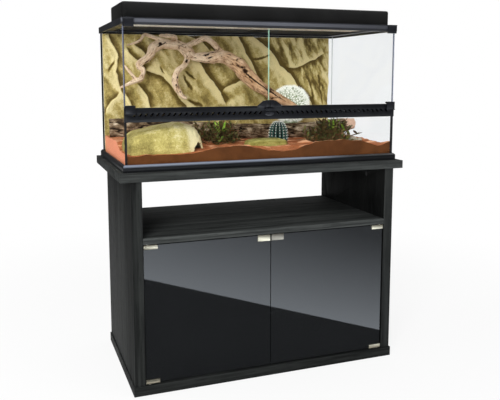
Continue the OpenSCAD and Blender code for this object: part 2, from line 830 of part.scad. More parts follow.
module top_frame() {
    x = tank_x + rail_lip;
    fit_x = tank_x + frame_play;
    step_x = lid_in_x + lid_step;
    color([0.08, 0.08, 0.1]) difference() {
        union() {
            block(-x, x, rail_y0, tank_y1 + rail_lip, rail_z0, tank_z1);
            for (side = [-1, 1]) to_side(side) ear(tank_z1 - ear_t);
        }
        block(-fit_x, fit_x, side_y0 - frame_play, tank_y1 + frame_play, rail_z0 - past, pane_z1);
        block(-lid_in_x, lid_in_x, lid_y0, lid_y1, rail_z0 - past, tank_z1 + past);
        block(-step_x, step_x, lid_y0 - lid_step, lid_y1 + lid_step, lid_z0, tank_z1 + past);
        for (side = [-1, 1]) to_side(side) tank_pin(pin_play, tank_z1 - ear_t - past, tank_z1 + past);
    }
}

// ---- tank doors ----

module tank_door(side) {
    color([0.7, 0.85, 0.8, 0.4]) to_side(side)
        block(tdoor_mid_gap / 2, tank_x - tdoor_edge, tank_y0, in_y0, tdoor_z0, tdoor_z1);
}

module tank_hinge(z0, z1, lap0, lap1, pin0, pin1) {
    y1 = rail_y0 - seat_gap;
    translate([axis_x, axis_y, z0]) cylinder(r = knuckle_r, h = z1 - z0);
    block(axis_x - leaf_l, axis_x, axis_y - knuckle_r, y1, z0, z1);
    block(axis_x - leaf_l, axis_x, y1, tank_y0, lap0, lap1);
    tank_pin(0, pin0, pin1);
}

module tank_hinges(side) {
    pin_short = 0.4; // how far a pin stops short of the outer face of its ear
    color([0.2, 0.2, 0.24]) to_side(side) {
        tank_hinge(tdoor_z1 - leaf_lap, leaf_high_z1, tdoor_z1 - leaf_lap, tdoor_z1,
            leaf_high_z1, tank_z1 - pin_short);
        tank_hinge(leaf_low_z0, tdoor_z0 + leaf_lap, tdoor_z0, tdoor_z0 + leaf_lap,
            leaf_low_z0 - seat_gap - ear_t + pin_short, leaf_low_z0);
    }
}

module door_pull(side) {
    x0 = tdoor_mid_gap / 2;
    z0 = strip_z1 - pull_down;
    z1 = tdoor_z0 + pull_up;
    y1 = rail_y0 - seat_gap;
    drop = 2; // how far the top falls off from the thumb block to the slanting end
    root_w = thumb_w + 8;
    color([0.1, 0.1, 0.12]) to_side(side) {
        translate([0, y1, 0]) rotate([90, 0, 0]) linear_extrude(pull_t)
            polygon([[x0, z0], [x0 + pull_w - drop, z0], [x0 + pull_w, z0 + pull_down],
                [x0 + root_w, z1 - drop], [x0, z1]]);
        block(x0, x0 + thumb_w, pull_y0 - thumb_t, pull_y0, z0 + drop, z1);
        block(x0, x0 + root_w, y1, tank_y0, tdoor_z0, z1 - drop);
    }
}

module turn_latch() {
    end_x = (latch_l - latch_h) / 2;
    color([0.1, 0.1, 0.12]) {
        block(-end_x, end_x, latch_y1 - latch_t, latch_y1, latch_z - latch_h / 2, latch_z + latch_h / 2);
        for (end = [-1, 1]) translate([end * end_x, latch_y1 - latch_t, latch_z]) rod_y(latch_h / 2, latch_t);
        translate([0, latch_y1, latch_z]) rod_y(spindle_r + past, rail_y0 - seat_gap - latch_y1);
        translate([0, latch_y1, latch_z]) rod_y(spindle_r, rail_y0 + strip_wall + past - latch_y1);
    }
}

// ---- lid ----

module lid_frame() {
    flange_x = lid_in_x + lid_step - frame_play;
    low_x = lid_in_x - frame_play;
    hole_x = lid_in_x - lid_bar;
    color([0.1, 0.1, 0.12]) difference() {
        union() {
            block(-flange_x, flange_x, lid_y0 - lid_step + frame_play, lid_y1 + lid_step - frame_play,
                lid_z0 + seat_gap, tank_z1);
            block(-low_x, low_x, lid_y0 + frame_play, lid_y1 - frame_play, lid_low_z, tank_z1);
        }
        block(-hole_x, hole_x, lid_y0 + lid_bar, lid_y1 - lid_bar, lid_low_z - past, tank_z1 + past);
        block(-hole_x - mesh_lap, hole_x + mesh_lap, lid_y0 + lid_bar - mesh_lap,
            lid_y1 - lid_bar + mesh_lap, mesh_z, tank_z1 + past);
    }
}

module lid_mesh() {
    x = lid_in_x - lid_bar + mesh_lap - frame_play;
    y0 = lid_y0 + lid_bar - mesh_lap + frame_play;
    y1 = lid_y1 - lid_bar + mesh_lap - frame_play;
    step_x = (2 * x - wire_w) / mesh_nx;
    step_y = (y1 - y0 - wire_w) / mesh_ny;
    color([0.35, 0.35, 0.36]) translate([0, 0, mesh_z]) linear_extrude(mesh_t) difference() {
        translate([-x, y0]) square([2 * x, y1 - y0]);
        for (i = [0 : mesh_nx - 1], j = [0 : mesh_ny - 1])
            translate([-x + wire_w + i * step_x, y0 + wire_w + j * step_y])
                square([step_x - wire_w, step_y - wire_w]);
    }
}

// ---- hood ----

// a box with round upright corners and a round upper edge
module hood_form(inset, height) {
    r = hood_r - inset;
    edge = hood_edge_r;
    thin = 0.1;
    hull() for (x = [-1, 1] * (hood_x - hood_r), y = [hood_y0 + hood_r, hood_y1 - hood_r])
        translate([x, y, hood_z0]) {
            translate([0, 0, inset > 0 ? -past : 0]) cylinder(r = r, h = past, $fn = 24);
            for (a = [0, 45, 90]) translate([0, 0, height - edge + edge * sin(a) - thin])
                cylinder(r = r - edge + edge * cos(a), h = thin, $fn = 24);
        }
}

module hood_shell() {
    slots = 9;
    rear_slot = [4, 20];
    rear_pitch = 10;
    hole_w = switch_w / 2 - switch_rim + 2 * joint_play;
    hole_h = switch_h / 2 - switch_rim + 2 * joint_play;
    color([0.07, 0.07, 0.07]) difference() {
        hood_form(0, hood_h);
        hood_form(hood_wall, hood_h - hood_wall);
        block(switch_x - hole_w, switch_x + hole_w, hood_y1 - hood_wall - past, hood_y1 + past,
            rear_z - hole_h, rear_z + hole_h);
        translate([gland_x, hood_y1 - hood_wall - past, rear_z])
            rod_y(gland_r + gland_wall + joint_play, hood_wall + 2 * past);
        for (mid = [-rear_slots_x, rear_slots_x], i = [0 : slots - 1])
            translate([mid + (i - (slots - 1) / 2) * rear_pitch, 0, rear_z])
                block(-rear_slot[0] / 2, rear_slot[0] / 2, hood_y1 - hood_wall - past, hood_y1 + past,
                    -rear_slot[1] / 2, rear_slot[1] / 2);
    }
}

module reflector() {
    x = hood_x - hood_wall - sheet_end_gap;
    z0 = hood_z0 + 6;
    // half width of the sheet at its foot and its top
    foot = hood_d / 2 - hood_wall - 14;
    top = foot - 26;
    t = sheet_t * 1.25; // the sloping sides, measured level
    color([0.85, 0.84, 0.8]) translate([-x, hood_mid_y, 0]) rotate([90, 0, 90]) linear_extrude(2 * x)
        polygon([[-foot, z0], [-top, ceiling_z], [top, ceiling_z], [foot, z0],
            [foot - t, z0], [top - t, ceiling_z - sheet_t], [t - top, ceiling_z - sheet_t], [t - foot, z0]]);
}

// draws its children, which point along +X from the mouth of the holder, at all four holders
module at_holders() {
    for (side = [-1, 1]) to_side(side) {
        translate([holder_end_x, hood_mid_y, lamp_z]) mirror([1, 0, 0]) children();
        translate([holder_mid, hood_mid_y, lamp_z]) children();
    }
}

module lamp_holders() {
    color([0.9, 0.9, 0.88]) at_holders() difference() {
        union() {
            rod_x(holder_r, holder_l);
            block(3, holder_l - 3, -holder_r / 2, holder_r / 2, 0, holder_r + holder_foot_h);
        }
        translate([holder_floor_t, 0, 0]) rod_x(lamp_cap_r + joint_play, holder_l);
    }
}

module lamps() {
    base_l = 34;
    tube_r = lamp_r * 0.32;
    tube_at = lamp_r * 0.5;
    bridge = [2 * tube_r, tube_r * 1.6, lamp_r * 1.24];
    color([0.95, 0.95, 0.92]) at_holders() {
        translate([holder_floor_t + joint_play, 0, 0]) rod_x(lamp_cap_r, holder_l - holder_floor_t);
        translate([holder_l, 0, 0]) rod_x(lamp_r, base_l);
        for (y = [-1, 1], z = [-1, 1]) translate([holder_l + base_l - past, y * tube_at, z * tube_at])
            rod_x(tube_r, lamp_l - base_l - tube_r);
        for (y = [-1, 1]) translate([holder_l + lamp_l - tube_r, y * tube_at, 0]) cube(bridge, center = true);
    }
}

module switch_housing() {
    y0 = hood_y1 - 8;
    body_w = switch_w / 2 - switch_rim;
    body_h = switch_h / 2 - switch_rim;
    room_r = rocker_r + rocker_gap;
    color([0.12, 0.12, 0.12]) difference() {
        union() {
            block(switch_x - switch_w / 2, switch_x + switch_w / 2, hood_y1, hood_y1 + switch_face_t,
                rear_z - switch_h / 2, rear_z + switch_h / 2);
            block(switch_x - body_w, switch_x + body_w, y0, hood_y1, rear_z - body_h, rear_z + body_h);
        }
        translate([switch_x - switch_l / 2, hood_y1, rear_z]) rod_x(room_r, switch_l);
        rocker_axle(rocker_pin_in + joint_play, pin_play);
        block(switch_x - switch_l / 2, switch_x + switch_l / 2, hood_y1, hood_y1 + switch_face_t + past,
            rear_z - room_r, rear_z + room_r);
    }
}

module rocker_axle(reach, play) {
    l = switch_l + 2 * reach;
    translate([switch_x - l / 2, hood_y1, rear_z]) rod_x(tpin_r + play, l);
}

// the face is a shallow V, and rests tipped to the "off" side
module rocker() {
    l = switch_l - 2 * rocker_gap;
    face_y = rocker_r * 0.65;
    color([0.75, 0.1, 0.08]) {
        translate([switch_x - l / 2, hood_y1, rear_z]) rotate([-rocker_tilt, 0, 0]) difference() {
            rod_x(rocker_r, l);
            for (a = [rocker_tilt, -rocker_tilt]) rotate([a, 0, 0])
                translate([-past, face_y, a < 0 ? -2 * rocker_r : 0])
                    cube([l + 2 * past, rocker_r, 2 * rocker_r]);
        }
        rocker_axle(rocker_pin_in, 0);
    }
}

module cord_gland() {
    r = gland_r + gland_wall;
    collar_t = 5;
    color([0.12, 0.12, 0.12]) translate([gland_x, hood_y1, rear_z]) difference() {
        union() {
            translate([0, -hood_wall - gland_in, 0]) rod_y(r, hood_wall + gland_in);
            rod_y(r + 2, collar_t);
        }
        translate([0, -hood_wall - gland_in - past, 0])
            rod_y(gland_r, hood_wall + gland_in + collar_t + 2 * past);
    }
}

// ---- furnishing ----

// a closed solid under a height field: top[j][i] are points, i along X and j away from its foot
// line, and foot holds its four lower corners, anticlockwise as seen from above
module field(top, foot) {
    rows = len(top) - 1;
    last = len(top[0]) - 1;
    n = last + 1;
    under = n * (rows + 1);
    points = concat([for (j = [0 : rows]) each top[j]], foot);
    faces = concat(
        [for (j = [0 : rows - 1], i = [0 : last - 1]) [j * n + i, (j + 1) * n + i, j * n + i + 1]],
        [for (j = [0 : rows - 1], i = [0 : last - 1]) [j * n + i + 1, (j + 1) * n + i, (j + 1) * n + i + 1]],
        [[under, under + 1, under + 2, under + 3]],
        [[for (i = [0 : last]) i, under + 1, under]],
        [[for (i = [last : -1 : 0]) rows * n + i, under + 3, under + 2]],
        [[for (j = [rows : -1 : 0]) j * n, under, under + 3]],
        [[for (j = [0 : rows]) j * n + last, under + 2, under + 1]]);
    polyhedron(points, faces);
}

crest_reach = 90; // distance from the front window that the crests die away over
crest_left = -298; // the front of the sand is even from here to the left
crest_turn = 118;
bank_reach = 110; // distance in front of Y = 0 that the bank rises over
sand_most = sand_z + sand_wave + 1.5 * sand_crest + sand_bank; // above all of the sand
function sand_top(x, y) = sand_z + sand_wave * (0.45 * sin(x * 0.9 + y * 0.5 + 20)
    + 0.3 * sin(x * 2.3 - y * 1.1) + 0.25 * sin(y * 1.9 + x * 0.35 + 60))
    + sand_crest * (0.5 + cos(max(x, crest_left) + crest_turn)) * max(0, 1 - (y - side_y0) / crest_reach)
    + sand_bank * (0.3 + 0.7 * max(0, -x / in_x)) * min(1, max(0, 1 + y / bank_reach));

module sand() {
    nx = 22;
    ny = 8;
    x0 = -in_x + bed_play;
    x1 = in_x - bed_play;
    y0 = side_y0 + bed_play;
    y1 = rock_y - rock_rough - bed_play;
    function at(i, j) = [x0 + (x1 - x0) * i / nx, y0 + (y1 - y0) * j / ny];
    top = [for (j = [0 : ny]) [for (i = [0 : nx]) concat(at(i, j), sand_top(at(i, j)[0], at(i, j)[1]))]];
    foot = [[x0, y0, floor_z], [x1, y0, floor_z], [x1, y1, floor_z], [x0, y1, floor_z]];
    color([0.78, 0.46, 0.3]) difference() {
        field(top, foot);
        log_form(bed_play);
        dig(hide_x, hide_y, hide_w / 2, hide_d / 2);
        dig(spiny_x, spiny_y, spiny_foot_r, spiny_foot_r);
        dig(barrel_x, barrel_y, barrel_r, barrel_r);
        for (place = [left_plant, right_plant]) dig(place[0], place[1], plant_foot[0] / 2, plant_foot[1] / 2);
        dig(slab_x, slab_y, slab_w / 2, slab_d / 2);
    }
}

// a hole with a flat floor in the sand, for what stands there
module dig(x, y, half_w, half_d) {
    block(x - half_w - bed_play, x + half_w + bed_play, y - half_d - bed_play, y + half_d + bed_play,
        bed_z - bed_play, sand_most + past);
}

rock_plain_h = 70; // the foot of the rock is even up to here, behind the sand
function rock_ridge(a, sharp) = pow(abs(sin(a)), sharp);
// relief from 0 to 1: slanting ledges broken by a few cracks, dying away to the edges
function rock_shape(x, z, h) =
    let (u = x * 0.62 + z * 0.5, v = z * 0.55 - x * 0.2)
    let (edge = min(1, max(0, z - rock_plain_h) / 60) * min(1, (h - z) / 40))
    edge * (0.55 * rock_ridge(u + 20 * sin(v), 0.6) + 0.3 * rock_ridge(v * 1.3 + 40, 0.8)
        + 0.15 * (1 + sin(x * 1.7 - z * 0.8)) / 2);
function rock_grain(i, j) = rock_rough * (1 + sin(77 * i + 131 * j)) / 2;

module rock_background() {
    nx = 40;
    nz = 18;
    h = rail_z0 - 2 - floor_z;
    x0 = -in_x + bed_play;
    x1 = in_x - rock_gap;
    function at(i, j, y) = [x0 + (x1 - x0) * i / nx, y, floor_z + bed_play + h * j / nz];
    front = [for (j = [0 : nz]) [for (i = [0 : nx])
        at(i, j, rock_y - rock_grain(i, j) - rock_relief * rock_shape(at(i, j, 0)[0], h * j / nz, h))]];
    back = [for (c = [[0, 0], [nx, 0], [nx, nz], [0, nz]]) at(c[0], c[1], in_y1 - bed_play)];
    color([0.6, 0.55, 0.3]) field(front, back);
}

// half-round dome of the hide, with its foot at z = 0 and its top drawn to the right
module dome(half_w, half_d, h) {
    n = 28;
    rows = 7;
    points = concat([for (j = [0 : rows - 1], i = [0 : n - 1])
        let (a = 360 * i / n, b = 90 * j / rows, lump = 1 + 0.04 * sin(3 * a) * cos(b))
        let (out = pow(cos(b), 0.6) * lump)
        [half_w * cos(a) * out + hide_lean * pow(sin(b), 2), half_d * sin(a) * out, h * pow(sin(b), 0.9)]],
        [[hide_lean, 0, h]]);
    faces = concat(
        [[for (i = [0 : n - 1]) i]],
        [for (j = [0 : rows - 2], i = [0 : n - 1]) [j * n + i, (j + 1) * n + i, j * n + (i + 1) % n]],
        [for (j = [0 : rows - 2], i = [0 : n - 1])
            [j * n + (i + 1) % n, (j + 1) * n + i, (j + 1) * n + (i + 1) % n]],
        [for (i = [0 : n - 1]) [(rows - 1) * n + i, rows * n, (rows - 1) * n + (i + 1) % n]]);
    polyhedron(points, faces);
}

module rock_hide() {
    w = hide_w / 2 / 1.04;
    d = hide_d / 2 / 1.04;
    color([0.66, 0.62, 0.34]) translate([hide_x, hide_y, bed_z]) difference() {
        dome(w, d, hide_h);
        translate([0, 0, -past]) dome(w - hide_wall, d - hide_wall, hide_h - hide_wall + past);
        rotate([0, 0, -hide_mouth_turn]) translate([w / 2, 0, 0]) rod_x(hide_mouth_r, w);
    }
}

log_x = in_x - 8;
log_y0 = in_y1 - log_back_left;
log_y1 = in_y1 - log_back_right;
log_z0 = sand_z + 7 + log_r0;
log_turn = atan2(log_y1 - log_y0, 2 * log_x);

// the log, or with play the room that it needs
module log_form(play) {
    l = 2 * log_x / cos(log_turn);
    translate([-log_x, log_y0, log_z0]) rotate([0, 0, log_turn]) rotate([0, 90, 0])
        translate([0, 0, -play]) cylinder(r1 = log_r0 + play, r2 = log_r1 + play, h = l + 2 * play);
}

module fallen_log() {
    color([0.45, 0.37, 0.28]) log_form(0);
}

// a bent tube along points, with a radius for each point, as one closed solid
module limb(path, radii, sides) {
    n = len(path);
    function along(i) = path[min(i + 1, n - 1)] - path[max(i - 1, 0)];
    function unit(v) = v / norm(v);
    function ring(i) = let (t = unit(along(i)), s = unit(cross(t, [0, 1, 0.2])), u = cross(t, s))
        [for (k = [0 : sides - 1]) let (a = 360 * k / sides) path[i] + radii[i] * (cos(a) * s + sin(a) * u)];
    points = [for (i = [0 : n - 1]) each ring(i)];
    faces = concat(
        [[for (k = [0 : sides - 1]) k]],
        [for (i = [0 : n - 2], k = [0 : sides - 1])
            [i * sides + k, (i + 1) * sides + k, i * sides + (k + 1) % sides]],
        [for (i = [0 : n - 2], k = [0 : sides - 1])
            [i * sides + (k + 1) % sides, (i + 1) * sides + k, (i + 1) * sides + (k + 1) % sides]],
        [[for (k = [sides - 1 : -1 : 0]) (n - 1) * sides + k]]);
    polyhedron(points, faces);
}

// places on the driftwood, from the log up to the rock that it leans on: X, Y and the height over drift_z
drift_trunk = [[266, 40, -256], [210, 36, -230], [157, 38, -204], [101, 42, -174], [40, 46, -130],
    [-3, 62, -82], [-38, 88, -52], [-100, 134, -48], [-140, 156, -46], [-168, 168, -12], [-232, 174, -4],
    [-269, 174, -13], [-290, 170, -41], [-329, 162, -74], [-318, 150, -98], [-330, 140, -124],
    [-356, 128, -134], [-406, 104, -157]];
drift_taper = [0.5, 0.54, 0.57, 0.68, 0.96, 1, 0.86, 0.71, 0.5, 0.54, 0.61, 0.71, 0.54, 0.43, 0.32, 0.36,
    0.28, 0.12];
drift_loop = [[-38, 100, -48], [-70, 126, -5], [-94, 146, 16], [-120, 160, 8], [-156, 166, -8]];
drift_branch = [[-180, 168, -17], [-161, 156, -52], [-172, 144, -73], [-193, 136, -92], [-210, 130, -120],
    [-211, 128, -148], [-196, 128, -177], [-170, 128, -195]];
drift_twig = [[-232, 172, 5], [-296, 158, 22], [-311, 150, 23], [-331, 138, 4], [-378, 126, -11]];
drift_knob = [[-200, 172, 5], [-206, 162, 21], [-235, 154, 22], [-260, 150, 24]];
drift_prong = [[-350, 129, -130], [-374, 120, -96], [-389, 114, -78]];

function lowered(path) = [for (p = path) [p[0], p[1], drift_z + p[2]]];

module driftwood() {
    color([0.68, 0.55, 0.42]) difference() {
        union() {
            limb(lowered(drift_trunk), drift_r * drift_taper, 9);
            limb(lowered(drift_loop), drift_r * [0.42, 0.36, 0.36, 0.34, 0.36], 7);
            limb(lowered(drift_branch), drift_r * [0.4, 0.38, 0.36, 0.36, 0.4, 0.38, 0.36, 0.24], 7);
            limb(lowered(drift_twig), drift_r * [0.28, 0.22, 0.2, 0.18, 0.12], 6);
            limb(lowered(drift_knob), drift_r * [0.34, 0.3, 0.26, 0.18], 6);
            limb(lowered(drift_prong), drift_r * [0.22, 0.2, 0.12], 6);
        }
        log_form(bed_play);
    }
}

// a round head that grows out of a narrow foot
module spiny_cactus() {
    r = spiny_r;
    color([0.82, 0.84, 0.74]) translate([spiny_x, spiny_y, bed_z]) rotate_extrude($fn = 36)
        polygon(concat([[0, 0], [spiny_foot_r, 0], [spiny_foot_r, spiny_h * 0.2]],
            [for (a = [-60 : 10 : 90]) [r * cos(a), spiny_h - r + r * sin(a)]]));
}

module barrel_cactus() {
    r = barrel_r;
    n = barrel_ribs;
    color([0.35, 0.5, 0.48]) translate([barrel_x, barrel_y, bed_z]) intersection() {
        rotate_extrude($fn = 36) polygon(concat([[0, 0], [r * 0.8, 0]],
            [for (a = [-30 : 15 : 90]) [r * cos(a), barrel_h - r + r * sin(a)]]));
        linear_extrude(barrel_h) polygon([for (i = [0 : 2 * n - 1])
            r * (i % 2 == 0 ? 1 : 0.86) * [cos(180 * i / n), sin(180 * i / n)]]);
    }
}

module leaf(l) {
    w = l * 0.08;
    rotate([90, 0, 0]) linear_extrude(1.6, center = true)
        polygon([[0, -w / 2], [l * 0.5, -w], [l, 0], [l * 0.5, w], [0, w / 2]]);
}

// a tuft of leaves on a small foot, within its half width and half depth
module plant(place, half_w) {
    color([0.22, 0.36, 0.14]) translate([place[0], place[1], bed_z]) {
        block(-plant_foot[0] / 2, plant_foot[0] / 2, -plant_foot[1] / 2, plant_foot[1] / 2, 0, plant_foot[2]);
        for (i = [0 : leaf_count - 1])
            let (turn = i * 137.5, rise = leaf_low + (leaf_high - leaf_low) * (i % 4) / 3)
            let (out = 1 / norm([cos(turn) / half_w, sin(turn) / plant_d]))
            let (l = min((plant_h - leaf_root_z) / sin(rise), out / cos(rise)))
                translate([0, 0, leaf_root_z]) rotate([0, 0, turn]) rotate([0, -rise, 0]) leaf(l);
    }
}

module flat_stone() {
    color([0.62, 0.58, 0.36]) translate([slab_x, slab_y, bed_z]) linear_extrude(slab_t)
        polygon([for (p = slab_form) [p[0] * slab_w / 2, p[1] * slab_d / 2]]);
}

top_board();
side_panel(-1);  // left_side_panel
side_panel(1);  // right_side_panel
base_board();
middle_shelf();
back_panel();
dowels();
cam_fasteners();
hinge_bushes();
push_catch(-1);  // left_push_catch
push_catch(1);  // right_push_catch
catch_screws();
catch_plunger(-1);  // left_catch_plunger
catch_plunger(1);  // right_catch_plunger
door_glass(-1);  // left_door_glass
door_hinges(-1);  // left_door_hinges
hinge_pins(-1);  // left_hinge_pins
grub_screws(-1);  // left_grub_screws
strike_plate(-1);  // left_strike_plate
door_glass(1);  // right_door_glass
door_hinges(1);  // right_door_hinges
hinge_pins(1);  // right_hinge_pins
grub_screws(1);  // right_grub_screws
strike_plate(1);  // right_strike_plate
bottom_frame();
bottom_pane();
rear_pane();
side_pane(-1);  // left_pane
side_pane(1);  // right_pane
front_window();
silicone_seals();
vent_strip();
oval_plate();
top_frame();
tank_door(-1);  // left_tank_door
tank_hinges(-1);  // left_tank_hinges
door_pull(-1);  // left_door_pull
tank_door(1);  // right_tank_door
tank_hinges(1);  // right_tank_hinges
door_pull(1);  // right_door_pull
turn_latch();
lid_frame();
lid_mesh();
hood_shell();
reflector();
lamp_holders();
lamps();
switch_housing();
rocker();
cord_gland();
sand();
rock_background();
rock_hide();
fallen_log();
driftwood();
spiny_cactus();
barrel_cactus();
plant(left_plant, left_plant_w);
plant(right_plant, right_plant_w);
flat_stone();
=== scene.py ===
import json
import math
import bmesh
import bpy
import numpy as np
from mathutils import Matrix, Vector

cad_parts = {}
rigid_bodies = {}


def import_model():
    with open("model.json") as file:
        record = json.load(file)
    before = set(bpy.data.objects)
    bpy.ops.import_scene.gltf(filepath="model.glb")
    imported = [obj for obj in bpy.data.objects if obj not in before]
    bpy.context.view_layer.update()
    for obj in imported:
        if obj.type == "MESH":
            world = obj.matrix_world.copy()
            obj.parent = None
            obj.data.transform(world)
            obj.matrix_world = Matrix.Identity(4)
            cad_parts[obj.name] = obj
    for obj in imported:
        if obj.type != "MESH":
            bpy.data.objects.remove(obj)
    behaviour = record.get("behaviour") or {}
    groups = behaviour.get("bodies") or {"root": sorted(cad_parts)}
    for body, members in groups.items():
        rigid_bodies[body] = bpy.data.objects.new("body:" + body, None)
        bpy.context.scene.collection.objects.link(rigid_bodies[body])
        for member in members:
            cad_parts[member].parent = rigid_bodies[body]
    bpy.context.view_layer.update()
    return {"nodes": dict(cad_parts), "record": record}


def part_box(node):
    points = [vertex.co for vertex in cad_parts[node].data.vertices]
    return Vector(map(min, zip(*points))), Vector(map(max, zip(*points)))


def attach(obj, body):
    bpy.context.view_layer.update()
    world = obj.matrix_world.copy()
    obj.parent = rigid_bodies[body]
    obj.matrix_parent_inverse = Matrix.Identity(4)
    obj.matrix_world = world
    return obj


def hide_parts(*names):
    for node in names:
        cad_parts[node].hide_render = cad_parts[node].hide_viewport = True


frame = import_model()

nodes = frame["nodes"]
scene = bpy.context.scene
scene.view_settings.view_transform = "Standard"
scene.cycles.transparent_max_bounces = 24
fullTurn = 2 * math.pi
goldenTurn = 2.399                       # radians between one thing and the next, so that no two line up
mm = 1000.0

# small tools: noise, meshes and tubes
noiseHash = {"x": 374761393, "y": 668265263, "z": 1274126177, "seed": 974634777, "stir": 1103515245}


def latticeValue(ix, iy, iz, seed):
    # an even random value from -1 to 1 at each whole place
    n = (ix * noiseHash["x"] + iy * noiseHash["y"] + iz * noiseHash["z"]
         + seed * noiseHash["seed"]) & 0xffffffff
    n = ((n ^ (n >> 13)) * noiseHash["stir"]) & 0xffffffff
    return ((n ^ (n >> 16)) & 0xffff) / 0x7fff - 1.0


def smoothNoise(p, size, seed=0):
    # one octave of value noise from -1 to 1, with lumps of the given size
    q = np.asarray(p, float) / size
    i = np.floor(q).astype(np.int64)
    f = q - i
    f = f * f * (3 - 2 * f)
    total = 0.0
    for corner in np.ndindex(2, 2, 2):
        weight = 1.0
        for axis, d in enumerate(corner):
            weight = weight * (f[..., axis] if d else 1 - f[..., axis])
        total = total + weight * latticeValue(*(i[..., axis] + corner[axis] for axis in range(3)), seed)
    return total


def roughNoise(p, size, octaves=4, seed=0, keep=0.5):
    # octaves of noise, each half the size of the last and weaker by keep
    total, amount, whole = 0.0, 1.0, 0.0
    for k in range(octaves):
        total = total + amount * smoothNoise(p, np.asarray(size) / 2 ** k, seed + 17 * k)
        whole += amount
        amount *= keep
    return total / whole


def smoothStep(low, high, value):
    t = np.clip((value - low) / (high - low), 0, 1)
    return t * t * (3 - 2 * t)


def hump(value, width):
    return np.exp(-(value / width) ** 2)


def unit(vector):
    return vector / np.linalg.norm(vector)


def onTurn(angle):
    return np.array([math.cos(angle), math.sin(angle)])


def meshObject(name, points, faces, material=None):
    mesh = bpy.data.meshes.new(name)
    mesh.from_pydata([tuple(p) for p in points], [], [tuple(int(i) for i in f) for f in faces])
    mesh.update()
    obj = bpy.data.objects.new(name, mesh)
    scene.collection.objects.link(obj)
    if material:
        mesh.materials.append(material)
    return obj


def gridFaces(rows, columns, wrap=False):
    # quads of a grid of points held row by row; wrap joins the last column to the first
    faces = []
    for j in range(rows - 1):
        for i in range(columns if wrap else columns - 1):
            k = (i + 1) % columns
            a = j * columns
            b = a + columns
            faces.append((a + i, a + k, b + k, b + i))
    return faces


def domeFaces(rows, columns, closedBelow=True):
    # a grid wrapped round, with a point after its points that closes it below and one on top
    last, pole = (rows - 1) * columns, rows * columns
    faces = gridFaces(rows, columns, wrap=True)
    if closedBelow:
        faces += [((i + 1) % columns, i, pole) for i in range(columns)]
        pole += 1
    return faces + [(last + i, last + (i + 1) % columns, pole) for i in range(columns)]


def ballGrid(turns, rises):
    # turns round and rises from the lower to the upper pole, without the poles
    return np.meshgrid(np.arange(turns) * fullTurn / turns,
                       np.linspace(-math.pi / 2, math.pi / 2, rises)[1:-1])


def edgeRing(rows, columns):
    # the row and column of each point on the border of a grid, in order
    return ([(0, i) for i in range(columns)] + [(j, columns - 1) for j in range(1, rows)]
            + [(rows - 1, i) for i in range(columns - 2, -1, -1)] + [(j, 0) for j in range(rows - 2, 0, -1)])


def tubeMesh(path, radii, sides, shape=None):
    # points and faces of a tube along a path; shape(turn, along) scales its radius
    path = np.asarray(path, float)
    n = len(path)
    ahead = np.gradient(path, axis=0)
    ahead /= np.linalg.norm(ahead, axis=1)[:, None]
    side = unit(np.cross(ahead[0], (0.31, 0.2, 0.93)))
    turn = np.arange(sides) * fullTurn / sides
    points = []
    for i in range(n):
        side = unit(side - ahead[i] * side.dot(ahead[i]))
        up = np.cross(ahead[i], side)
        r = radii[i] * (shape(turn, i / (n - 1)) if shape else 1.0) * np.ones(sides)
        points.append(path[i] + np.outer(r * np.cos(turn), side) + np.outer(r * np.sin(turn), up))
    ends = [tuple(range(sides - 1, -1, -1)), tuple((n - 1) * sides + k for k in range(sides))]
    return np.concatenate(points), gridFaces(n, sides, wrap=True) + ends


def curveThrough(points, steps):
    # a smooth path through the points, steps on each stretch
    p = np.asarray(points, float)
    out = []
    for i in range(len(p) - 1):
        a, b, c, d = p[max(i - 1, 0)], p[i], p[i + 1], p[min(i + 2, len(p) - 1)]
        for k in range(steps):
            t = k / steps
            out.append(0.5 * (2 * b + (c - a) * t + (2 * a - 5 * b + 4 * c - d) * t ** 2
                              + (3 * b - a - 3 * c + d) * t ** 3))
    out.append(p[-1])
    return np.array(out)


def setAttributes(obj, **lists):
    for name, values in lists.items():
        held = obj.data.attributes.new(name, "FLOAT", "POINT")
        held.data.foreach_set("value", np.asarray(values, np.float32))


def readVectors(source, key):
    flat = np.empty(len(source) * 3, np.float32)
    source.foreach_get(key, flat)
    return flat.reshape(-1, 3).astype(float)


def pointsAndNormals(obj):
    return readVectors(obj.data.vertices, "co"), readVectors(obj.data.vertex_normals, "vector")


def roundOff(obj, angle=180):
    # smooth shading, with edges sharper than the angle kept sharp
    obj.data.polygons.foreach_set("use_smooth", [True] * len(obj.data.polygons))
    if angle < 180:
        obj.data.set_sharp_from_angle(angle=math.radians(angle))


def addModifier(obj, name, kind, **settings):
    made = obj.modifiers.new(name, kind)
    for key, value in settings.items():
        setattr(made, key, value)


def applyModifiers(obj):
    # the result of the modifiers as a plain mesh
    bpy.context.view_layer.update()
    result = bpy.data.meshes.new_from_object(obj.evaluated_get(bpy.context.evaluated_depsgraph_get()))
    result.name = obj.name
    obj.modifiers.clear()
    obj.data = result
    return obj


def joinParts(name, parts, material=None):
    # one object from (points, faces) pairs
    points, faces, start = [], [], 0
    for p, f in parts:
        points.append(np.asarray(p, float))
        faces += [tuple(i + start for i in face) for face in f]
        start += len(p)
    return meshObject(name, np.concatenate(points), faces, material)


def dress(obj, body, slot, *replaced):
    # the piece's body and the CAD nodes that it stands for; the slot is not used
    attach(obj, body)
    if replaced:
        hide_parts(*replaced)


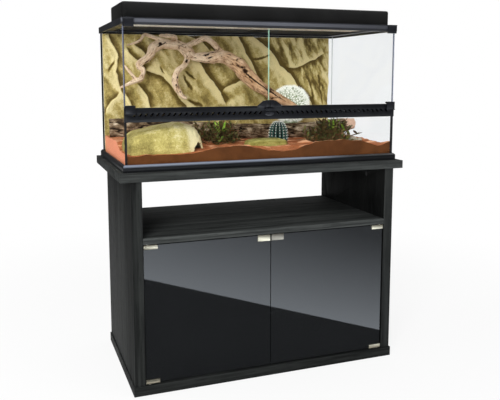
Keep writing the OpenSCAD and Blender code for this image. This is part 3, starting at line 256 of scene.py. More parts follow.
# materials: a term wraps a socket, so shader maths reads as plain sums
class Term:
    def __init__(self, shade, socket):
        self.shade, self.socket = shade, socket

    def calc(self, what, *others):
        return self.shade.math(what, self, *others)

    def __add__(self, other): return self.calc("ADD", other)
    def __sub__(self, other): return self.calc("SUBTRACT", other)
    def __mul__(self, other): return self.calc("MULTIPLY", other)
    def __truediv__(self, other): return self.calc("DIVIDE", other)
    def __pow__(self, other): return self.calc("POWER", other)
    def __radd__(self, other): return self.shade.math("ADD", other, self)
    def __rsub__(self, other): return self.shade.math("SUBTRACT", other, self)
    def __rmul__(self, other): return self.shade.math("MULTIPLY", other, self)

    def step(self, low, high, bottom=0.0, top=1.0):
        return self.shade.node("ShaderNodeMapRange", {"interpolation_type": "SMOOTHSTEP", "clamp": True},
                               {0: self, 1: low, 2: high, 3: bottom, 4: top})


class Shade:
    def __init__(self, name, holder=None):
        self.material = holder or bpy.data.materials.new(name)
        self.material.use_nodes = True
        self.tree = self.material.node_tree
        self.tree.nodes.clear()
        self.output = self.tree.nodes.new("ShaderNodeOutputWorld" if holder else "ShaderNodeOutputMaterial")

    def node(self, kind, settings=None, sockets=None, out=0):
        made = self.tree.nodes.new(kind)
        for key, value in (settings or {}).items():
            if key == "stops":
                ramp = made.color_ramp.elements
                while len(ramp) < len(value):
                    ramp.new(0.5)
                for stop, (place, colour) in zip(ramp, value):
                    stop.position, stop.color = place, (*colour, 1.0)
            else:
                setattr(made, key, value)
        for key, value in (sockets or {}).items():
            if isinstance(value, Term):
                self.tree.links.new(value.socket, made.inputs[key])
            elif isinstance(value, tuple) and len(value) == 3 and made.inputs[key].type == "RGBA":
                made.inputs[key].default_value = (*value, 1.0)
            else:
                made.inputs[key].default_value = value
        return Term(self, made.outputs[out])

    def math(self, what, *values):
        return self.node("ShaderNodeMath", {"operation": what}, dict(enumerate(values)))

    def place(self, scale=(1, 1, 1), turn=(0, 0, 0), shift=(0, 0, 0)):
        coords = self.node("ShaderNodeTexCoord", out="Object")
        return self.node("ShaderNodeMapping", None, {0: coords, 1: shift, 2: turn, 3: scale})

    def axis(self, which, source="Object"):
        coords = self.node("ShaderNodeTexCoord", out=source)
        return self.node("ShaderNodeSeparateXYZ", None, {0: coords}, out=which)

    def noise(self, where, scale, detail=4.0, rough=0.55, bend=0.0):
        return self.node("ShaderNodeTexNoise", None, {
            "Vector": where, "Scale": scale, "Detail": detail, "Roughness": rough, "Distortion": bend})

    def attribute(self, name):
        return self.node("ShaderNodeAttribute", {"attribute_name": name}, out="Fac")

    def ray(self, kind):
        return self.node("ShaderNodeLightPath", out=f"Is {kind} Ray")

    def mix(self, factor, first, second):
        return self.node("ShaderNodeMix", {"data_type": "RGBA"}, {0: factor, 6: first, 7: second}, out=2)

    def blend(self, factor, first, second):
        return self.node("ShaderNodeMixShader", None, {0: factor, 1: first, 2: second})

    def ramp(self, factor, stops):
        return self.node("ShaderNodeValToRGB", {"stops": stops}, {0: factor})

    def bump(self, height, distance, strength=1.0):
        return self.node("ShaderNodeBump", None,
                         {"Height": height, "Distance": distance, "Strength": strength})

    def surface(self, **sockets):
        return self.close(self.node("ShaderNodeBsdfPrincipled", None,
                                    {key.replace("_", " "): value for key, value in sockets.items()}))

    def close(self, shader):
        self.tree.links.new(shader.socket, self.output.inputs["Surface"])
        return self.material


def tone(red, green, blue):
    # a colour written as it looks, 0 to 255, in the linear values that shaders take
    return tuple(((c / 255 + 0.055) / 1.055) ** 2.4 if c > 10 else c / 255 / 12.92
                 for c in (red, green, blue))


def tinted(colour, share):
    return tuple(min(c * share, 1.0) for c in colour)


def stretched(along, share):
    # scales that draw a texture out along one axis
    return tuple(share if axis == along else 1.0 for axis in "XYZ")


pureWhite = (1.0, 1.0, 1.0)
print("tools ready")

cameraView = {"place": (-0.77626, -2.13729, 0.96038), "yaw": 20.39, "down": 7.23, "lens": 47.71,
              "sensor": 36.0, "shiftY": -0.08, "farthest": 60}


def makeCamera(view):
    camera = bpy.data.objects.new("camera", bpy.data.cameras.new("camera"))
    scene.collection.objects.link(camera)
    yaw, down = math.radians(view["yaw"]), math.radians(view["down"])
    ahead = Vector((math.sin(yaw) * math.cos(down), math.cos(yaw) * math.cos(down), -math.sin(down)))
    camera.location = view["place"]
    camera.rotation_euler = ahead.to_track_quat("-Z", "Y").to_euler()
    camera.data.lens = view["lens"]
    camera.data.sensor_width = view["sensor"]
    camera.data.sensor_fit = "HORIZONTAL"
    camera.data.shift_y = view["shiftY"]
    camera.data.clip_end = view["farthest"]
    scene.camera = camera


makeCamera(cameraView)

# the studio: a pale floor that turns white with distance, and soft lights
studio = {"floorHalf": 4.0, "floorWhite": 0.84, "floorGrey": (0.85, 0.85, 0.85),
          "whiteFrom": 0.8, "whiteTo": 2.2,
          "skyDiffuse": 0.62, "lowGloss": 0.05, "highGloss": 1.6, "glossFrom": 0.30, "glossTo": 0.75,
          "aim": (0.0, 0.0, 0.75), "lights": {  # place, power and size
              "keyLight": ((-2.1, -3.3, 2.0), 160.0, 1.9),
              "sideLight": ((-3.0, 0.6, 2.0), 16.0, 1.6),
              "fillLight": ((2.6, -3.4, 1.4), 30.0, 2.6)}}


def softLight(name, place, power, size, aim):
    lamp = bpy.data.lights.new(name, "AREA")
    lamp.shape = "DISK"
    lamp.energy, lamp.size = power, size
    obj = bpy.data.objects.new(name, lamp)
    obj.location = place
    obj.rotation_euler = (Vector(aim) - Vector(place)).to_track_quat("-Z", "Y").to_euler()
    obj.visible_glossy = False
    scene.collection.objects.link(obj)


def stagePlane(name, left, near, right, far, height, material):
    obj = meshObject(name, [(left, near, height), (right, near, height),
                            (right, far, height), (left, far, height)],
                     [(0, 1, 2, 3)], material)
    return obj


def makeStudio(values):
    # the world is white to the camera and in mirrors, and dimmer as light
    scene.world = bpy.data.worlds.new("studio")
    sky = Shade("sky", scene.world)
    glossy = sky.ray("Glossy")
    overhead = sky.axis("Z").step(values["glossFrom"], values["glossTo"],
                                  values["lowGloss"], values["highGloss"])
    seen = sky.ray("Camera").calc("MAXIMUM", sky.ray("Transmission"))
    strength = seen + (1 - seen) * (glossy * overhead + (1 - glossy) * values["skyDiffuse"])
    sky.close(sky.node("ShaderNodeBackground", None, {"Color": pureWhite, "Strength": strength}))

    shade = Shade("studioFloor")
    seen = shade.ray("Camera").calc("MAXIMUM", shade.ray("Transmission")).calc("MAXIMUM", shade.ray("Glossy"))
    distance = (shade.axis("X") ** 2.0 + shade.axis("Y") ** 2.0) ** 0.5
    share = seen * distance.step(values["whiteFrom"], values["whiteTo"], values["floorWhite"], 1.0)
    plain = shade.node("ShaderNodeBsdfDiffuse", None, {"Color": values["floorGrey"]})
    white = shade.node("ShaderNodeEmission", None, {"Color": pureWhite, "Strength": 1.0})
    half = values["floorHalf"]
    stagePlane("studioFloor", -half, -half, half, half, 0, shade.close(shade.blend(share, plain, white)))
    for name, (place, power, size) in values["lights"].items():
        softLight(name, place, power, size, values["aim"])


makeStudio(studio)

# the diagonal band of light in the cabinet doors comes from this card, flat on the floor in front
card = {"near": -0.30, "far": -3.4, "left": -1.4, "right": 3.0, "height": 0.004,
        "eye": 0.96, "mirror": -0.238, "depth": 1.899,
        "doorLeft": 0.360, "doorRight": 0.088, "doorHalf": 0.4075,
        "dark": 0.10, "bright": 3.6, "faint": 0.54, "fade": 0.33, "fall": 1.25, "blur": 0.0015,
        "colour": (0.90, 0.98, 1.07)}


def makeCard(values):
    shade = Shade("reflectorCard")
    eyeX = cameraView["place"][0]
    away = (values["mirror"] - shade.axis("Y")) / values["depth"]
    doorZ = values["eye"] * away / (1 + away)           # where on the door this point is mirrored
    doorX = (shade.axis("X") - eyeX) / (1 + away) + eyeX
    slope = (values["doorRight"] - values["doorLeft"]) / (2 * values["doorHalf"])
    over = doorZ - (doorX + values["doorHalf"]) * slope - values["doorLeft"]
    glow = (1 - over / values["fade"]).calc("MAXIMUM", 0.0) ** values["fall"]
    lit = values["faint"] + (values["bright"] - values["faint"]) * glow
    strength = values["dark"] + (lit - values["dark"]) * over.step(-values["blur"], values["blur"])
    light = shade.node("ShaderNodeEmission", None, {"Color": values["colour"], "Strength": strength})
    obj = stagePlane("reflectorCard", values["left"], values["far"], values["right"], values["near"],
                     values["height"], shade.close(light))
    for ray in ("camera", "diffuse", "shadow", "transmission", "volume_scatter"):
        setattr(obj, "visible_" + ray, False)


makeCard(card)
print("camera and studio ready")

# finishes of the boards, frames, glass and fittings
recordSlots = {part["node"]: part["material_slot"] for part in frame["record"]["subparts"]}
bodyOf = {node: body for body, members in frame["record"]["behaviour"]["bodies"].items() for node in members}
board = {"dark": tone(15, 16, 16), "pale": tone(49, 51, 50), "streak": 120.0, "wide": 0.17, "pore": 420.0,
         "stretch": 0.035, "poreStretch": 0.056, "rough": 0.62, "poreDepth": 0.00022, "shade": tone(5, 5, 5)}


def makeBoard(name, along, paintedLight=1.0, inside=0.0):
    # black stained ash: long streaks and fine open pores along one axis
    shade = Shade(name)
    where = shade.place(stretched(along, board["stretch"]))
    streak = shade.noise(where, board["streak"], 5.0, 0.62, 0.4).step(0.32, 0.72)
    wide = shade.noise(where, board["streak"] * board["wide"], 3.0, 0.5, 0.8).step(0.3, 0.75)
    fine = shade.place(stretched(along, board["poreStretch"]))
    pore = shade.noise(fine, board["pore"], 2.0, 0.6).step(0.56, 0.70)
    grain = (streak * 0.55 + wide * 0.45) * (1 - pore * 0.55)
    bump = shade.bump((1 - pore) * 0.7 + streak * 0.3, board["poreDepth"], 0.8)
    # the whole board is painted brighter or darker by this share: painted light above 1, painted shade below
    # 1
    colour = shade.mix(grain, tinted(board["dark"], paintedLight), tinted(board["pale"], paintedLight))
    if inside:                               # the inner face lies deeper in the shade
        inner = (0 - shade.axis("X", "Normal")).step(0.4, 0.8)
        colour = shade.mix(inner * inside, colour, board["shade"])
    return shade.surface(Base_Color=colour, Roughness=board["rough"] + pore * 0.2,
                         Normal=bump, Specular_IOR_Level=0.05)


def makeMoulded(name, colour, rough, specular, grain=2600.0, depth=0.00006, paler=1.5, sheen=None):
    # moulded plastic: a fine even grain, faint wear, and a pale painted sheen, a painted highlight, on edges
    # that face up and forward
    shade = Shade(name)
    where = shade.place()
    cloud = shade.noise(where, 9.0, 3.0, 0.6)
    base = shade.mix(cloud.step(0.35, 0.75), colour, tinted(colour, paler))
    if sheen:
        front = (0 - shade.axis("Y", "Normal")).step(0.2, 0.6)
        slant = shade.axis("Z", "Normal").step(0.35, 0.6) * front
        fade = 1 - shade.axis("X").step(sheen["fadeFrom"], sheen["fadeTo"]) * sheen["loss"]
        base = shade.mix((slant * fade).calc("MINIMUM", 1.0), base, sheen["colour"])
        # painted reflection: a pale band across the front between two heights, fading along X
        if "share" in sheen:                 # a pale band between two heights of the front
            height, blur = shade.axis("Z"), 0.001
            band = (height.step(sheen["low"] - blur, sheen["low"] + blur)
                    * (1 - height.step(sheen["high"] - blur, sheen["high"] + blur)))
            base = shade.mix(band * front * fade * sheen["share"], base, sheen["colour"])
    return shade.surface(Base_Color=base, Roughness=rough + (cloud - 0.5) * 0.12, Specular_IOR_Level=specular,
                         Normal=shade.bump(shade.noise(where, grain, 2.0, 0.5), depth, 0.7))


def makeMetal(name, colour, rough, brushAxis="X"):
    shade = Shade(name)
    brushed = shade.noise(shade.place(stretched(brushAxis, 0.03)), 2600.0, 3.0, 0.6)
    spots = shade.noise(shade.place(), 160.0, 3.0, 0.6).step(0.45, 0.8)
    return shade.surface(Base_Color=shade.mix(brushed, colour, tinted(colour, 1.25)), Metallic=1.0,
                         Roughness=rough + (brushed - 0.5) * 0.16 + spots * 0.08,
                         Normal=shade.bump(brushed, 0.00003, 0.6))


def makeGlass(name, thin, tint, edge, gapEdge=None, gloss=0.55, most=0.10, paintedPalePast=None):
    # clear pane: see-through faces with a soft mirror, and coloured cut edges, some of them painted pale as
    # painted light
    shade = Shade(name)
    fresnel = shade.node("ShaderNodeFresnel", None, {"IOR": 1.45})
    smear = shade.noise(shade.place(), 7.0, 4.0, 0.6).step(0.3, 0.8, 0.8, 1.2)
    clear = shade.node("ShaderNodeBsdfTransparent", None, {"Color": tint})
    shine = shade.node("ShaderNodeBsdfGlossy", None, {"Color": pureWhite, "Roughness": 0.01})
    pane = shade.blend((fresnel * gloss).calc("MINIMUM", most) * smear, clear, shine)
    atEdge = 1 - shade.axis(thin, "Normal").calc("ABSOLUTE").step(0.5, 0.8)
    colour = edge
    if gapEdge:                                  # the edges where two doors meet
        atGap = 1 - shade.axis("X").calc("ABSOLUTE").step(0.01, 0.02)
        colour = shade.mix(atGap, edge, gapEdge)
    # the cut edges past here are painted pale, standing in for the white backdrop seen through them: painted
    # light
    if paintedPalePast:                                # the cut edges past here are pale
        axis, start = paintedPalePast
        colour = shade.mix(shade.axis(axis).step(start, start + 0.002), edge, tone(222, 228, 230))
    cut = shade.node("ShaderNodeBsdfPrincipled", None, {"Base Color": colour, "Roughness": 0.25})
    return shade.close(shade.blend(atEdge * 0.9, pane, cut))


def makeSmoked():
    shade = Shade("smokedGlass")
    cloud = shade.noise(shade.place(), 5.0, 3.0, 0.5)
    return shade.surface(Base_Color=shade.mix(cloud, tone(17, 18, 19), tone(23, 24, 25)),
                         Roughness=0.015 + cloud * 0.01, Alpha=0.93, IOR=1.5)


def makePorcelain():
    shade = Shade("porcelain")
    speck = shade.noise(shade.place(), 900.0, 3.0, 0.6).step(0.5, 0.8)
    return shade.surface(Base_Color=shade.mix(speck, tone(238, 236, 228), tone(214, 208, 194)),
                         Roughness=0.22, Coat_Weight=0.5, Normal=shade.bump(speck, 0.00008, 0.5))


def makeLampGlass():
    shade = Shade("lampGlass")
    where = shade.place()
    cloud, frost = shade.noise(where, 40.0, 3.0, 0.5), shade.noise(where, 3000.0, 2.0, 0.5)
    return shade.surface(Base_Color=shade.mix(cloud, tone(244, 243, 236), tone(226, 226, 220)),
                         Roughness=0.35, Normal=shade.bump(frost, 0.00004, 0.5))


def makeWood(name, dark, pale, along):
    shade = Shade(name)
    grain = shade.noise(shade.place(stretched(along, 0.05)), 260.0, 4.0, 0.6, 0.6)
    return shade.surface(Base_Color=shade.mix(grain.step(0.3, 0.7), dark, pale), Roughness=0.7,
                         Normal=shade.bump(grain, 0.0002, 0.6))


def makeSilicone(dark, pale, bare):
    # black seams, and a clear one in the rear right corner
    shade = Shade("blackSilicone")
    cloud = shade.noise(shade.place(), 60.0, 3.0, 0.6)
    clear = shade.axis("X").step(0.40, 0.41) * shade.axis("Y").step(0.15, 0.16)
    return shade.surface(Base_Color=shade.mix(clear, shade.mix(cloud, dark, pale), bare),
                         Roughness=0.5 - cloud * 0.1, Alpha=1 - clear * 0.95,
                         Normal=shade.bump(cloud, 0.0001, 0.7))


# painted highlights on the bevels and painted reflection bands across the fronts of the bottom frame, top
# frame and vent strip
footSheen = {"colour": tone(104, 111, 124), "fadeFrom": 0.08, "fadeTo": 0.32, "loss": 1.0,
             "low": 0.6945, "high": 0.702, "share": 0.45}
railSheen = {"colour": tone(78, 80, 87), "fadeFrom": 0.0, "fadeTo": 0.42, "loss": 0.6,
             "low": 1.1135, "high": 1.1235, "share": 0.9}
stripSheen = {"colour": tone(92, 96, 110), "fadeFrom": 0.1, "fadeTo": 0.5, "loss": 0.3}
framePlastic = makeMoulded("framePlastic", tone(17, 18, 22), 0.30, 0.45)
catchPlastic = makeMoulded("catchPlastic", tone(36, 36, 37), 0.5, 0.4)
zinc = makeMetal("zincPlate", tone(190, 190, 186), 0.38, "Z")
nickel = makeMetal("brushedNickel", tone(200, 192, 170), 0.34)
hoodPlastic = makeMoulded("hoodPlastic", tone(17, 17, 17), 0.42, 0.25)
edgeBlue, paneTint = tone(58, 64, 88), (0.975, 0.98, 0.98)
finishes = [  # CAD nodes, material, and the width of the broken edges: with None the node itself takes it
    # the top board and the shelf are painted brighter and the left panel darker, as painted light and painted
    # shade; the right panel's inner face is painted in shade
    ("top_board", makeBoard("blackAshTop", "X", 1.7), 0.0008),
    ("left_side_panel", makeBoard("blackAshAlongZ", "Z", 0.84), 0.0008),
    ("right_side_panel", makeBoard("blackAshRight", "Z", 1.0, 0.7), 0.0008),
    ("base_board", makeBoard("blackAshAlongX", "X"), 0.0008),
    ("middle_shelf", makeBoard("blackAshShelf", "X", 2.2), 0.0008),
    ("back_panel", makeWood("hardboard", tone(34, 33, 31), tone(50, 48, 45), "Z"), 0.0008),
    ("dowels", makeWood("beech", tone(196, 160, 112), tone(222, 190, 146), "X"), None),
    ("catch_screws", zinc, None),
    ("cam_fasteners", makeMetal("blackZinc", tone(44, 44, 46), 0.5), None),
    ("hinge_bushes", makeMoulded("nylon", tone(210, 206, 194), 0.45, 0.5, 1800.0), None),
    ("left_door_glass right_door_glass", makeSmoked(), None),
    ("left_grub_screws right_grub_screws left_hinge_pins right_hinge_pins", zinc, None),
    ("bottom_pane", makeGlass("floorGlass", "Z", (0.97, 0.975, 0.97), edgeBlue), None),
    ("left_pane right_pane",
     makeGlass("sideGlass", "X", (0.985, 0.99, 0.995), edgeBlue, None, 0.3, 0.035, ("Y", 0.15)), None),
    ("rear_pane", makeGlass("rearGlass", "Y", paneTint, tone(20, 22, 28), paintedPalePast=("X", 0.4)), None),
    ("front_window", makeGlass("frontGlass", "Y", paneTint, tone(22, 24, 30)), None),
    # the door panes' cut edges are painted pale blue-white as a painted highlight, and pale green where the
    # doors meet: the glass's own green brightened with painted light
    ("left_tank_door right_tank_door",
     makeGlass("doorGlass", "Y", paneTint, tone(206, 212, 224), tone(186, 232, 214)), None),
    ("silicone_seals", makeSilicone(tone(10, 10, 12), tone(18, 18, 20), tone(226, 230, 230)), None),
    ("lamps", makeLampGlass(), None),
    ("left_push_catch right_push_catch left_catch_plunger right_catch_plunger", catchPlastic, 0.0004),
    ("left_door_hinges right_door_hinges left_strike_plate", nickel, 0.0005),
    # the right strike plate: the same nickel painted darker, as painted shade
    ("right_strike_plate", makeMetal("shadedNickel", tone(146, 140, 128), 0.40), 0.0005),
    ("bottom_frame", makeMoulded("footPlastic", tone(15, 16, 18), 0.30, 0.40, sheen=footSheen), 0.0007),
    ("top_frame", makeMoulded("railPlastic", tone(26, 27, 31), 0.30, 0.45, sheen=railSheen), 0.0007),
    ("vent_strip", makeMoulded("stripPlastic", tone(12, 13, 16), 0.32, 0.36, sheen=stripSheen), 0.0007),
    ("left_tank_hinges right_tank_hinges left_door_pull right_door_pull turn_latch", framePlastic, 0.0005),
    ("oval_plate", makeMoulded("barePlate", tone(26, 27, 31), 0.22, 0.6, 1500.0, 0.00003), 0.0005),
    ("lid_frame", framePlastic, 0.0006),
    ("reflector", makeMetal("reflectorSheet", tone(225, 226, 228), 0.25), 0.0),
    ("lamp_holders", makePorcelain(), 0.0005),
    ("switch_housing cord_gland", catchPlastic, 0.0004),
    ("rocker", makeMoulded("rockerRed", tone(176, 24, 20), 0.3, 0.5, 1800.0, 0.00003, 1.15), 0.0004),
]
hood = {"round": 0.005, "steps": 5, "bevel": 0.0004, "angle": 40, "longEdge": 0.02}
sharpAngle = 32


def nodeCopy(name):
    # the CAD node as an editable mesh, with its flat faces whole
    work = bmesh.new()
    work.from_mesh(nodes[name].data)
    bmesh.ops.remove_doubles(work, verts=work.verts, dist=2e-6)
    bmesh.ops.dissolve_limit(work, angle_limit=math.radians(0.6), verts=work.verts, edges=work.edges)
    return work


def finishCopy(name, work, node, material, bevel, angle=sharpAngle):
    # stands for the CAD node, with its edges broken and its round faces smooth
    mesh = bpy.data.meshes.new(name)
    work.to_mesh(mesh)
    work.free()
    mesh.materials.clear()
    mesh.materials.append(material)
    mesh.polygons.foreach_set("material_index", [0] * len(mesh.polygons))
    obj = bpy.data.objects.new(name, mesh)
    scene.collection.objects.link(obj)
    if bevel:
        addModifier(obj, "edge", "BEVEL", width=bevel, segments=2, limit_method="ANGLE",
                    angle_limit=math.radians(angle))
        applyModifiers(obj)
    roundOff(obj, sharpAngle)
    dress(obj, bodyOf[node], recordSlots[node], node)


def makeHood(values):
    # the outer top and corner edges of the moulded hood are well rounded
    low, high = (np.array(corner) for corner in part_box("hood_shell"))
    work = nodeCopy("hood_shell")
    outer = []
    for edge in work.edges:
        ends = np.array([tuple(v.co) for v in edge.verts])
        planes = [(0, low), (0, high), (1, low), (1, high), (2, high)]
        touched = sum(bool(np.all(np.abs(ends[:, axis] - side[axis]) < 1e-5)) for axis, side in planes)
        if edge.calc_length() > values["longEdge"] and touched >= 2:
            outer.append(edge)
    bmesh.ops.bevel(work, geom=outer, offset=values["round"], segments=values["steps"], profile=0.5,
                    affect="EDGES", clamp_overlap=True)
    finishCopy("hoodShellFinished", work, "hood_shell", hoodPlastic, values["bevel"], values["angle"])


for names, material, bevel in finishes:
    for name in names.split():
        if bevel is None:
            for slot in nodes[name].material_slots:
                slot.material = material
        else:
            finishCopy(name + "Finished", nodeCopy(name), name, material, bevel)
makeHood(hood)
print("boards, frames, glass and fittings finished")

# rock background: slanting slabs with ledges, cracks and a rough skin
rock = {"left": -0.4445, "right": 0.4215, "low": 0.6938, "high": 1.1045, "back": 0.2265, "middle": 0.2085,
        "nearest": 0.1915, "thinnest": 0.002, "columns": 410, "rows": 190, "wobble": 5.0, "wobbleSize": 26.0,
        "slab": 6.0, "slabSize": 74.0, "fold": 2.6, "foldSize": 38.0, "striate": 4.2, "striateSize": 17.0,
        "skin": 1.9, "skinSize": 9.0, "grit": 0.8, "gritSize": 4.6, "foot": 7, "footHigh": 26,
        "narrow": 7.0, "broad": 26.0}
# in mm on the wall, X and height: points, drop, how far the hollow behind it runs, lip in front
rockLedges = [
    ([(82, 1136), (100, 1108), (133, 1086), (167, 1067), (193, 1040), (215, 1000), (259, 969), (286, 929),
      (299, 909), (342, 868), (378, 797)], 19, 26, 34),
    ([(35, 1135), (50, 1099), (78, 1049), (102, 1012), (118, 975), (142, 930)], 13, 17, 22),
    ([(-115, 1032), (-92, 995), (-81, 977), (-54, 940), (-22, 902), (-1, 857)], 15, 44, 30),
    ([(-165, 1112), (-91, 1086), (-60, 1050)], 12, 36, 20),
    ([(-22, 898), (6, 921), (55, 943), (90, 950)], 8, 22, 16),
    ([(-427, 1107), (-403, 1053), (-393, 1026), (-402, 976), (-389, 919), (-377, 884)], 8, 16, 18),
    ([(-364, 1060), (-346, 1033), (-326, 1012), (-300, 975)], 10, 16, 20),
    ([(-338, 1075), (-307, 1047), (-283, 1009)], 9, 16, 18),
    ([(401, 1046), (357, 1022), (312, 1002), (259, 989), (235, 996)], 9, 18, 16),
    ([(-298, 980), (-247, 962), (-203, 926), (-180, 881), (-151, 852), (-132, 815)], -10, 24, 26),
    ([(-324, 930), (-306, 911), (-292, 886), (-282, 840)], 9, 20, 20),
    ([(-389, 905), (-422, 870), (-448, 832)], -7, 16, 16),
    ([(-375, 904), (-354, 869), (-343, 827)], 8, 18, 16),
]
rockCracks = [  # points, depth, half width
    ([(109, 1023), (134, 1026), (159, 1030), (183, 1042)], 5, 3.0),
    ([(-246, 994), (-232, 965)], 6, 2.6), ([(-164, 962), (-150, 940), (-127, 907)], 8, 2.8),
    ([(-157, 977), (-119, 947)], 6, 2.6), ([(-150, 874), (-120, 859), (-89, 851)], 7, 5.0),
    ([(-402, 1015), (-431, 974)], 5, 3.0), ([(330, 960), (352, 905), (360, 860)], 4, 3.5),
    ([(378, 975), (392, 900), (398, 850)], 4, 3.5), ([(-60, 1075), (-30, 1040)], 5, 3.0),
]


def blurred(values, spread):
    # soft copy of a grid, for telling hollows from ridges
    reach = int(spread * 2.5)
    kernel = np.exp(-0.5 * (np.arange(-reach, reach + 1) / spread) ** 2)
    kernel /= kernel.sum()
    for axis in (0, 1):
        values = np.apply_along_axis(lambda row: np.convolve(np.pad(row, reach, "edge"), kernel, "valid"),
                                     axis, values)
    return values


def nearLine(x, z, points):
    # distance to a polyline, the signed side of it, and a fade at its ends
    best, side, fade = np.full(x.shape, 1e9), np.zeros(x.shape), np.zeros(x.shape)
    points = np.asarray(points, float)
    lengths = np.linalg.norm(np.diff(points, axis=0), axis=1)
    along, total = 0.0, lengths.sum()
    for (ax, az), (bx, bz), length in zip(points[:-1], points[1:], lengths):
        ux, uz = (bx - ax) / length, (bz - az) / length
        t = (x - ax) * ux + (z - az) * uz
        inside = np.clip(t, 0, length)
        gap = np.hypot(x - ax - ux * inside, z - az - uz * inside)
        closer = gap < best
        best = np.where(closer, gap, best)
        side = np.where(closer, np.sign(ux * (z - az) - uz * (x - ax)) * gap, side)
        place = along + t
        fade = np.where(closer, smoothStep(-8, 18, place) * smoothStep(-8, 18, total - place), fade)
        along += length
    return best, side, fade


def makeRockBackground(values):
    x = np.linspace(values["left"], values["right"], values["columns"]) * mm
    z = np.linspace(values["low"], values["high"], values["rows"]) * mm
    x, z = np.meshgrid(x, z)
    flat = np.stack([x, z, 0 * x], -1)
    wobble, rise = (roughNoise(flat, values["wobbleSize"], 3, seed) * values["wobble"] for seed in (5, 9))
    wx, wz = x + wobble, z + rise
    # strata run down to the right at about fifty degrees
    strata = np.stack([(wx * 0.64 - wz * 0.77) / 3.2, wx * 0.77 + wz * 0.64, 0 * x], -1)
    relief = values["slab"] * roughNoise(strata, values["slabSize"], 3, 21, 0.5)
    folds = 1 - np.abs(roughNoise(strata, values["foldSize"], 2, 33))
    relief += values["fold"] * folds - values["fold"] / 2
    for points, drop, hollow, lip in rockLedges:
        gap, side, fade = nearLine(wx, wz, points)
        if drop < 0:
            side, drop = -side, -drop
        step = smoothStep(-2.2, 2.6, side)
        relief += fade * drop * (0.42 * np.exp(-np.abs(side) / lip) * (1 - step)
                                 - 0.58 * np.exp(-np.abs(side) / hollow) * step)
    for points, depth, half in rockCracks:
        gap, side, fade = nearLine(wx + wobble * 0.3, wz, points)
        relief -= fade * depth * hump(gap, half)
    # steep striae, stronger at the upper right
    right = smoothStep(120, 260, x) * smoothStep(-40, 40, z - 1120 + (x - 100) * 0.85)
    steep = np.stack([wx * 0.9 + wz * 0.34, (wz * 0.9 - wx * 0.34) / 3.4, 0 * x], -1)
    relief += values["striate"] * (0.35 + right) * roughNoise(steep, values["striateSize"], 4, 47, 0.6)
    shape = relief.copy()
    relief += values["skin"] * roughNoise(flat, values["skinSize"], 3, 61, 0.65)
    relief += values["grit"] * roughNoise(flat, values["gritSize"], 2, 71)
    relief -= values["foot"] * (1 - smoothStep(0, values["footHigh"], z - values["low"] * mm))
    y = values["middle"] * mm - relief
    y = np.clip(y, values["nearest"] * mm, (values["back"] - values["thinnest"]) * mm)
    # painted shade and highlight: hollows are painted darker and ridges paler, and slabs paler where they
    # stand proud of the wall around them
    hollow = shape - blurred(shape, values["narrow"]) + 0.3 * (relief - shape)
    broad = shape - blurred(shape, values["broad"])
    # a rim runs back from the edges of the front to a flat back
    rows, columns = x.shape
    ring = edgeRing(rows, columns)
    rim = np.array([[x[j, i] / mm, values["back"], z[j, i] / mm] for j, i in ring])
    faces = gridFaces(rows, columns)
    start = rows * columns
    for k in range(len(ring)):
        m = (k + 1) % len(ring)
        a, b = (ring[n][0] * columns + ring[n][1] for n in (k, m))
        faces.append((a, start + k, start + m, b))
    faces.append(tuple(start + k for k in range(len(ring))))
    front = np.stack([x, y, z], -1).reshape(-1, 3) / mm
    obj = meshObject("rockBackgroundRelief", np.concatenate([front, rim]), faces, makeRockSkin("rockWall"))
    behind = np.zeros(len(ring))
    setAttributes(obj, hollow=np.concatenate([hollow.ravel(), behind]),
                  broad=np.concatenate([broad.ravel(), behind]))
    roundOff(obj, 60)
    dress(obj, "tank", "rock", "rock_background")


def makeRockSkin(name, pale=tone(218, 203, 150), middle=tone(180, 161, 96),
                 deep=tone(98, 80, 38), olive=0.12):
    # pale on ridges and dark in hollows: painted highlight and painted shade, given by the pieces'
    # attributes; with grit and a little olive growth
    shade = Shade(name)
    where = shade.place()
    cloud, patch = shade.noise(where, 13.0, 4.0, 0.6), shade.noise(where, 60.0, 4.0, 0.65)
    speck, grit = shade.noise(where, 150.0, 3.0, 0.65), shade.noise(where, 420.0, 4.0, 0.7)
    level = (shade.attribute("hollow") * 0.17 + shade.attribute("broad") * 0.055 + (patch - 0.5) * 0.28
             + (cloud - 0.5) * 0.45 + (speck - 0.5) * 0.5 + (grit - 0.5) * 0.9 + 0.53)
    dim = tuple(0.45 * a + 0.55 * b for a, b in zip(middle, deep))
    colour = shade.ramp(level, [(0.0, deep), (0.30, dim), (0.52, middle), (0.78, pale),
                                (1.0, tinted(pale, 1.12))])
    moss = shade.noise(where, 24.0, 3.0, 0.6).step(0.45, 0.7) * olive
    colour = shade.mix(moss, colour, shade.mix(0.55, colour, tone(140, 138, 72)))
    return shade.surface(Base_Color=colour, Roughness=0.86 - grit * 0.1, Specular_IOR_Level=0.2,
                         Normal=shade.bump(grit * 0.65 + patch * 0.35, 0.0034, 0.85))


makeRockBackground(rock)
print("rock background ready")

